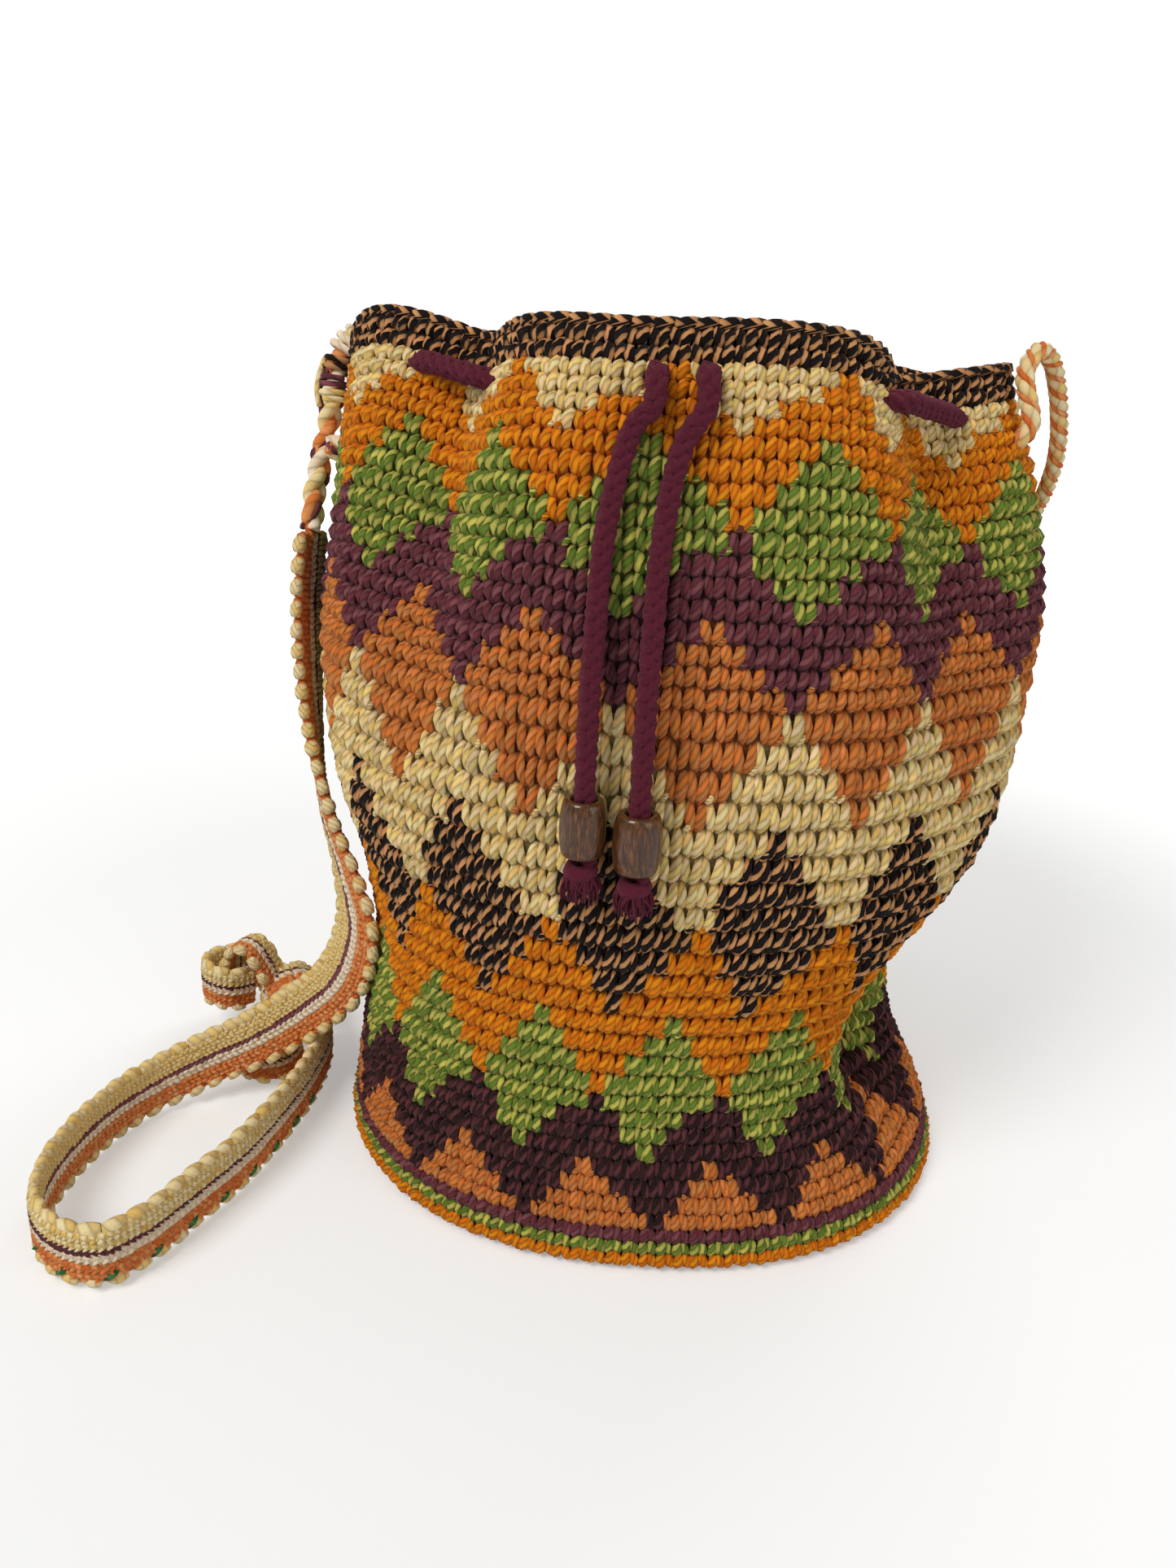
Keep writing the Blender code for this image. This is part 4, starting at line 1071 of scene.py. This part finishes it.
def main():
    finishes = {}
    for i, (name, pair) in enumerate(YARNS.items()):
        # groove is the share of painted shade in the groove between the plies
        how = {"black": {"blend": 0.06, "part": 0.6}, "dark_plum": {"blend": 0.3}, "cream": {"groove": 0.42},
               "green": {"blend": 0.3}}.get(name, {})
        finishes[name] = plain_yarn(f"{name} yarn", pair, i, **{"turns": 0.8, "plies": 4, "groove": 0.5, "shift": 0.37, **how})
    bag = crochet(finishes)
    bag.append(mouth_border(finishes["black"]))
    backing = cup_backing()
    backing.data.materials.append(backing_finish())
    bag.append(backing)
    for piece in bag:
        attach(piece, "bag")
        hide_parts("bag_body")

    left, laced, right = drawstring_routes()
    plum_cord = cord_finish()
    run = braided_cord("drawstring_laced", laced, CORD_D, plum_cord, 1.5 * MM)
    for piece in (run,):
        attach(piece, "bag")
        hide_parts("drawstring")
    for side, line, bead in (("left", left, BEAD_LEFT), ("right", right, BEAD_RIGHT)):
        wood = wood_finish(f"varnished wood {side}", bead[0], hang_y(bead), 3.0 if side == "left" else 11.0)
        ball = wooden_bead(f"wooden_bead_{side}", bead, wood)
        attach(ball, f"bead_{side}")
        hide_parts(f"bead_{side}")
        knot = tail_knot(f"tail_knot_{side}", bead, plum_cord)
        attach(knot, "bag")
        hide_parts(f"knot_{side}")
        cord = braided_cord(f"drawstring_tail_{side}", line, CORD_D, plum_cord)
        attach(cord, "bag")
        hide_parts("drawstring")

    first = [a for a, _ in BAND_YARNS]
    second = [b for _, b in BAND_YARNS]
    # groove=0.3: a lighter painted shade between the plies of the band's yarns
    band_yarn = yarn_finish("band yarns", first, second, turns=1.0, groove=0.3, fuzz=0.2)
    left_points, left_edges = band_route(LEFT_BAND, 1.5 * MM)
    right_points, right_edges = band_route(RIGHT_BAND, 1.5 * MM)
    upper_points, upper_edges = band_route(UPPER_BOW, 1.5 * MM)
    lower_points, lower_edges = band_route(LOWER_BOW, 1.5 * MM)
    narrow = [(o * 0.85, st, lo, wi * 0.9, th, sl, ti, ev) for o, st, lo, wi, th, sl, ti, ev in BAND_COLUMNS]
    narrower = [(o * 0.66, st, lo, wi * 0.8, th, sl, ti, ev) for o, st, lo, wi, th, sl, ti, ev in BAND_COLUMNS]
    band_left = band_columns("band_left", left_points, left_edges, BAND_COLUMNS, band_yarn, 10)
    turned_back = slice(int(len(left_points) * 0.62), int(len(left_points) * 0.93))
    green = band_columns("green_spots", left_points[turned_back], left_edges[turned_back], [GREEN_SPOTS],
                         band_yarn, None)
    band_left = joined("band_left", [band_left, green])
    longer = [(o, st * 1.17, lo * 1.17, wi, th, sl, ti, ev) for o, st, lo, wi, th, sl, ti, ev in BAND_COLUMNS]
    band_right = band_columns("band_right", right_points, right_edges, longer, band_yarn, 10)
    bow_upper = band_columns("bow_upper", upper_points, upper_edges, narrow, band_yarn, 10)
    tongue_points, tongue_edges = band_route(TONGUE, 1.5 * MM)
    tongue = band_columns("tongue", tongue_points, tongue_edges, narrower, band_yarn, 10)
    bow_upper = joined("bow_upper", [bow_upper, tongue])
    bow_lower = band_columns("bow_lower", lower_points, lower_edges, narrower, band_yarn, 10)
    centre, outer, inner, long = KNOT_WRAP
    turn = np.linspace(0, 2 * np.pi, 40)
    axis = np.array([math.sin(math.radians(28)), -math.cos(math.radians(28)), 0]) * -1
    side = np.array([0, 0, 1.0])
    third = np.cross(axis, side)
    ring = np.array(centre) * MM + 8.9 * MM * (np.cos(turn)[:, None] * side + np.sin(turn)[:, None] * third)
    wrap_columns = [(o * 0.95, st, lo, wi, 3.0, sl, ti, ev) for o, st, lo, wi, th, sl, ti, ev in BAND_COLUMNS]
    wrap = band_columns("knot_wrap", ring, np.tile(axis, (40, 1)), wrap_columns, band_yarn, 10)
    strap = [(band_left, "strap_left"), (band_right, "strap_right"), (bow_upper, "strap_bow_upper"),
             (bow_lower, "strap_bow_lower"), (wrap, "strap_knot")]
    for piece, node in strap:
        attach(piece, "bag")
        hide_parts(node)
    ends = mouth_ends(band_yarn, Vector(left_points[0]), Vector(left_points[0] - left_points[7]),
                      Vector(right_points[-1]), Vector(right_points[-1] - right_points[-10]))
    for piece, node in ends:
        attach(piece, "bag")
        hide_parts(node)


def braid_route(start, leave):
    """The left end: it rises from the band, goes over the mouth and back out through the cloth."""
    r = BRAID_D / 2
    out = RIDGE + r + CORD_CLEAR + 0.6 * MM
    inner = -(WALL + CORD_D + 2 * CORD_CLEAR + r + 1.1 * MM)
    rise = leave.normalized()
    begin = start + rise * (END_GAP + r * 0.1)
    route = [begin, begin + rise * BRAID_D * 0.6, on_cloth(190.5, 36.5, out + 1.6 * MM),
             on_cloth(185.5, 39.5, out + 1.0 * MM), on_cloth(184.5, 42.0, out + 0.4 * MM),
             on_cloth(184.5, 44.0, out + 0.3 * MM), on_cloth(184.5, ROWS, out * 0.72) + Vector((0, 0, 3.4 * MM)),
             on_cloth(184.5, ROWS, -WALL * 0.4) + Vector((0, 0, r + 3.6 * MM)),
             on_cloth(186.95, 44.0, inner), on_cloth(190.1, 41.6, inner), on_cloth(191.5, 39.8, inner * 0.62),
             on_cloth(191.5, 39.6, 0.0), on_cloth(191.5, 39.6, out - r + 3.2 * MM)]
    return smooth_route(route, 1.0 * MM)


def loop_route(start, leave):
    """The right end: it rises from the band, stands off the wall in an arch and goes in under the border."""
    rise = leave.normalized()
    begin = start + rise * (END_GAP + LOOP_D * 0.05)
    route = [begin, begin + rise * LOOP_D * 0.6]
    route += [on_cloth(degrees, row, offset * MM) + Vector((0, 0, lift * MM))
              for degrees, row, offset, lift in SIDE_LOOP]
    return smooth_route(route, 1.0 * MM)


def mouth_ends(finish, left_top, left_rise, right_top, right_rise):
    """The left end, a braid of four yarns, and the right end, two yarns twisted."""
    line = braid_route(left_top, left_rise)
    outs = carried_frame(line, np.array([-1.0, 0.1, 0]))
    side = unit(np.cross(unit(np.gradient(line, axis=0)), outs))
    s = np.arange(len(line)) * 1.0
    strands = []
    for k in range(3):
        phase = 2 * np.pi * (s / 26 + k / 3)
        strands.append(line + (2.3 * np.sin(phase)[:, None] * side + 1.25 * np.sin(2 * phase)[:, None] * outs) * MM)
    pieces = [lay_strands("strand", st[None], outs[None], np.full((1, len(line), 2), 2.15 * MM), [tile], finish, 8, 6,
                          0) for st, tile in zip(strands, (9, 6, 0))]
    phase = 2 * np.pi * (s / 26 + 0.12)
    thin = line + (2.5 * np.sin(phase)[:, None] * side + 2.6 * np.sin(2 * phase)[:, None] * outs) * MM
    pieces.append(lay_strands("thin", thin[None], outs[None], np.full((1, len(line), 2), 1.0 * MM), [4], finish, 6, 6, 0))
    over = int(np.argmax(line[:, 2]))
    for begin, turns, tile, fat in ((-9, 2.6, 6, 1.25), (-15, 2.3, 15, 1.1), (-20, 1.6, 4, 1.0), (-24, 1.8, 1, 1.05)):
        t = np.linspace(0, 1, int(turns * 16))
        at = over + begin + t * turns * 2.1 * fat
        middle = np.stack([np.interp(at, np.arange(len(line)), line[:, k]) for k in range(3)], -1)
        o = unit(np.stack([np.interp(at, np.arange(len(line)), outs[:, k]) for k in range(3)], -1))
        w = unit(np.stack([np.interp(at, np.arange(len(line)), side[:, k]) for k in range(3)], -1))
        turn = 2 * np.pi * turns * t + begin
        ray = np.cos(turn)[:, None] * o + np.sin(turn)[:, None] * w
        wrap = middle + 4.0 * MM * ray
        pieces.append(lay_strands("wrap", wrap[None], ray[None], np.full((1, len(wrap), 2), fat * MM), [tile],
                                  finish, 6, 6, 0))
    hang = line[over - 12] + 4.5 * MM * outs[over - 12]
    for k, (lean, long, tile) in enumerate(((-2.0, 27, 7), (1.2, 15, 12), (-0.6, 19, 4))):
        t = np.linspace(0, 1, 14)[:, None]
        end = hang + np.array([[-1.0, -0.5, 0]]) * (lean * 0.6 + 2.2) * np.sin(t * 2.2) * MM
        loose = end + np.array([[0.3 * lean, -0.9 * lean, -long]]) * t * MM
        pieces.append(lay_strands("loose", loose[None], np.tile([-1.0, 0, 0.05], (14, 1))[None],
                                  (np.linspace(1.2, 0.8, 14)[None, :, None] * np.ones((1, 14, 2))) * MM, [tile],
                                  finish, 6, 6, 0))
    left = joined("mouth_braid_left", pieces)
    line = loop_route(right_top, right_rise)
    outs = carried_frame(line, np.array([1.0, 0.1, 0]))
    side = unit(np.cross(unit(np.gradient(line, axis=0)), outs))
    s = np.arange(len(line)) * 1.0
    pieces = []
    for k, (tile, fat, away) in enumerate(((12, 1.6, 1.25), (10, 0.85, 2.0), (13, 1.6, 1.25), (11, 0.7, 2.05))):
        phase = 2 * np.pi * (s / 13 + k / 4)
        strand = line + away * MM * (np.cos(phase)[:, None] * side + np.sin(phase)[:, None] * outs)
        pieces.append(lay_strands("strand", strand[None], outs[None], np.full((1, len(line), 2), fat * MM), [tile],
                                  finish, 8, 6, 0))
    right = joined("mouth_loop_right", pieces)
    return [(left, "strap_braid_left"), (right, "strap_loop_right")]


def studio():
    """A pale floor, soft lamps and the camera of the photograph."""
    bpy.ops.mesh.primitive_plane_add(size=8, location=(0, 0, -0.0005))
    floor = bpy.context.object
    floor.name = "floor"
    bpy.ops.object.transform_apply(location=True)
    s = Shader("pale floor")
    tree = s.tree
    s.surface.inputs["Base Color"].default_value = (0.80, 0.87, 0.98, 1)
    s.surface.inputs["Roughness"].default_value = 0.95
    s.surface.inputs["Specular IOR Level"].default_value = 0.1
    rays = s.node("ShaderNodeLightPath").outputs
    place = s.node("ShaderNodeTexCoord").outputs["Object"]
    away = s.node("ShaderNodeVectorMath", {0: place}, operation="LENGTH").outputs["Value"]
    far = s.node("ShaderNodeMapRange", {0: away, 1: 0.3, 2: 1.6, 3: 0.3, 4: 1.0}).outputs[0]
    glow = s.math("MULTIPLY", far, rays["Is Camera Ray"])
    s.surface.inputs["Emission Color"].default_value = (1, 1, 1, 1)
    tree.links.new(glow, s.surface.inputs["Emission Strength"])
    floor.data.materials.append(s.material)
    scene = bpy.context.scene
    world = bpy.data.worlds.new("studio")
    scene.world = world
    world.use_nodes = True
    back = world.node_tree.nodes["Background"]
    rays = world.node_tree.nodes.new("ShaderNodeLightPath")
    mixed = world.node_tree.nodes.new("ShaderNodeMix")
    mixed.data_type = "RGBA"
    mixed.inputs[6].default_value = (0.34, 0.31, 0.27, 1)
    mixed.inputs[7].default_value = (1, 1, 1, 1)
    world.node_tree.links.new(rays.outputs["Is Camera Ray"], mixed.inputs[0])
    world.node_tree.links.new(mixed.outputs[2], back.inputs["Color"])
    back.inputs["Strength"].default_value = 1.0
    for name, at, size, power in (("key", (-0.8, -0.9, 1.3), 0.8, 14), ("fill", (1.1, -0.9, 0.6), 1.1, 3.5),
                                  ("back", (0.5, 1.1, 1.1), 1.0, 7)):
        lamp = bpy.data.lights.new(name, "AREA")
        lamp.shape = "DISK"
        lamp.size = size
        lamp.energy = power
        lamp.color = (1.0, 0.93, 0.82)
        held = bpy.data.objects.new(name, lamp)
        held.location = at
        held.rotation_euler = (Vector((0, 0, 0.13)) - Vector(at)).to_track_quat("-Z", "Y").to_euler()
        scene.collection.objects.link(held)
    pitch, roll = math.radians(19.5), math.radians(3.0)
    forward = Vector((0, math.cos(pitch), -math.sin(pitch)))
    right = Vector((1, 0, 0))
    up = right.cross(forward)
    x_axis = math.cos(roll) * right + math.sin(roll) * up
    y_axis = -math.sin(roll) * right + math.cos(roll) * up
    turn = Matrix((x_axis, y_axis, -forward)).transposed()
    eye = bpy.data.cameras.new("camera")
    eye.lens = 27.03
    eye.sensor_width = 36.0
    eye.sensor_fit = "AUTO"
    camera = bpy.data.objects.new("camera", eye)
    camera.matrix_world = Matrix.Translation((-0.025, -0.382, 0.251)) @ turn.to_4x4()
    scene.collection.objects.link(camera)
    scene.camera = camera
    scene.view_settings.view_transform = "Standard"


main()
studio()
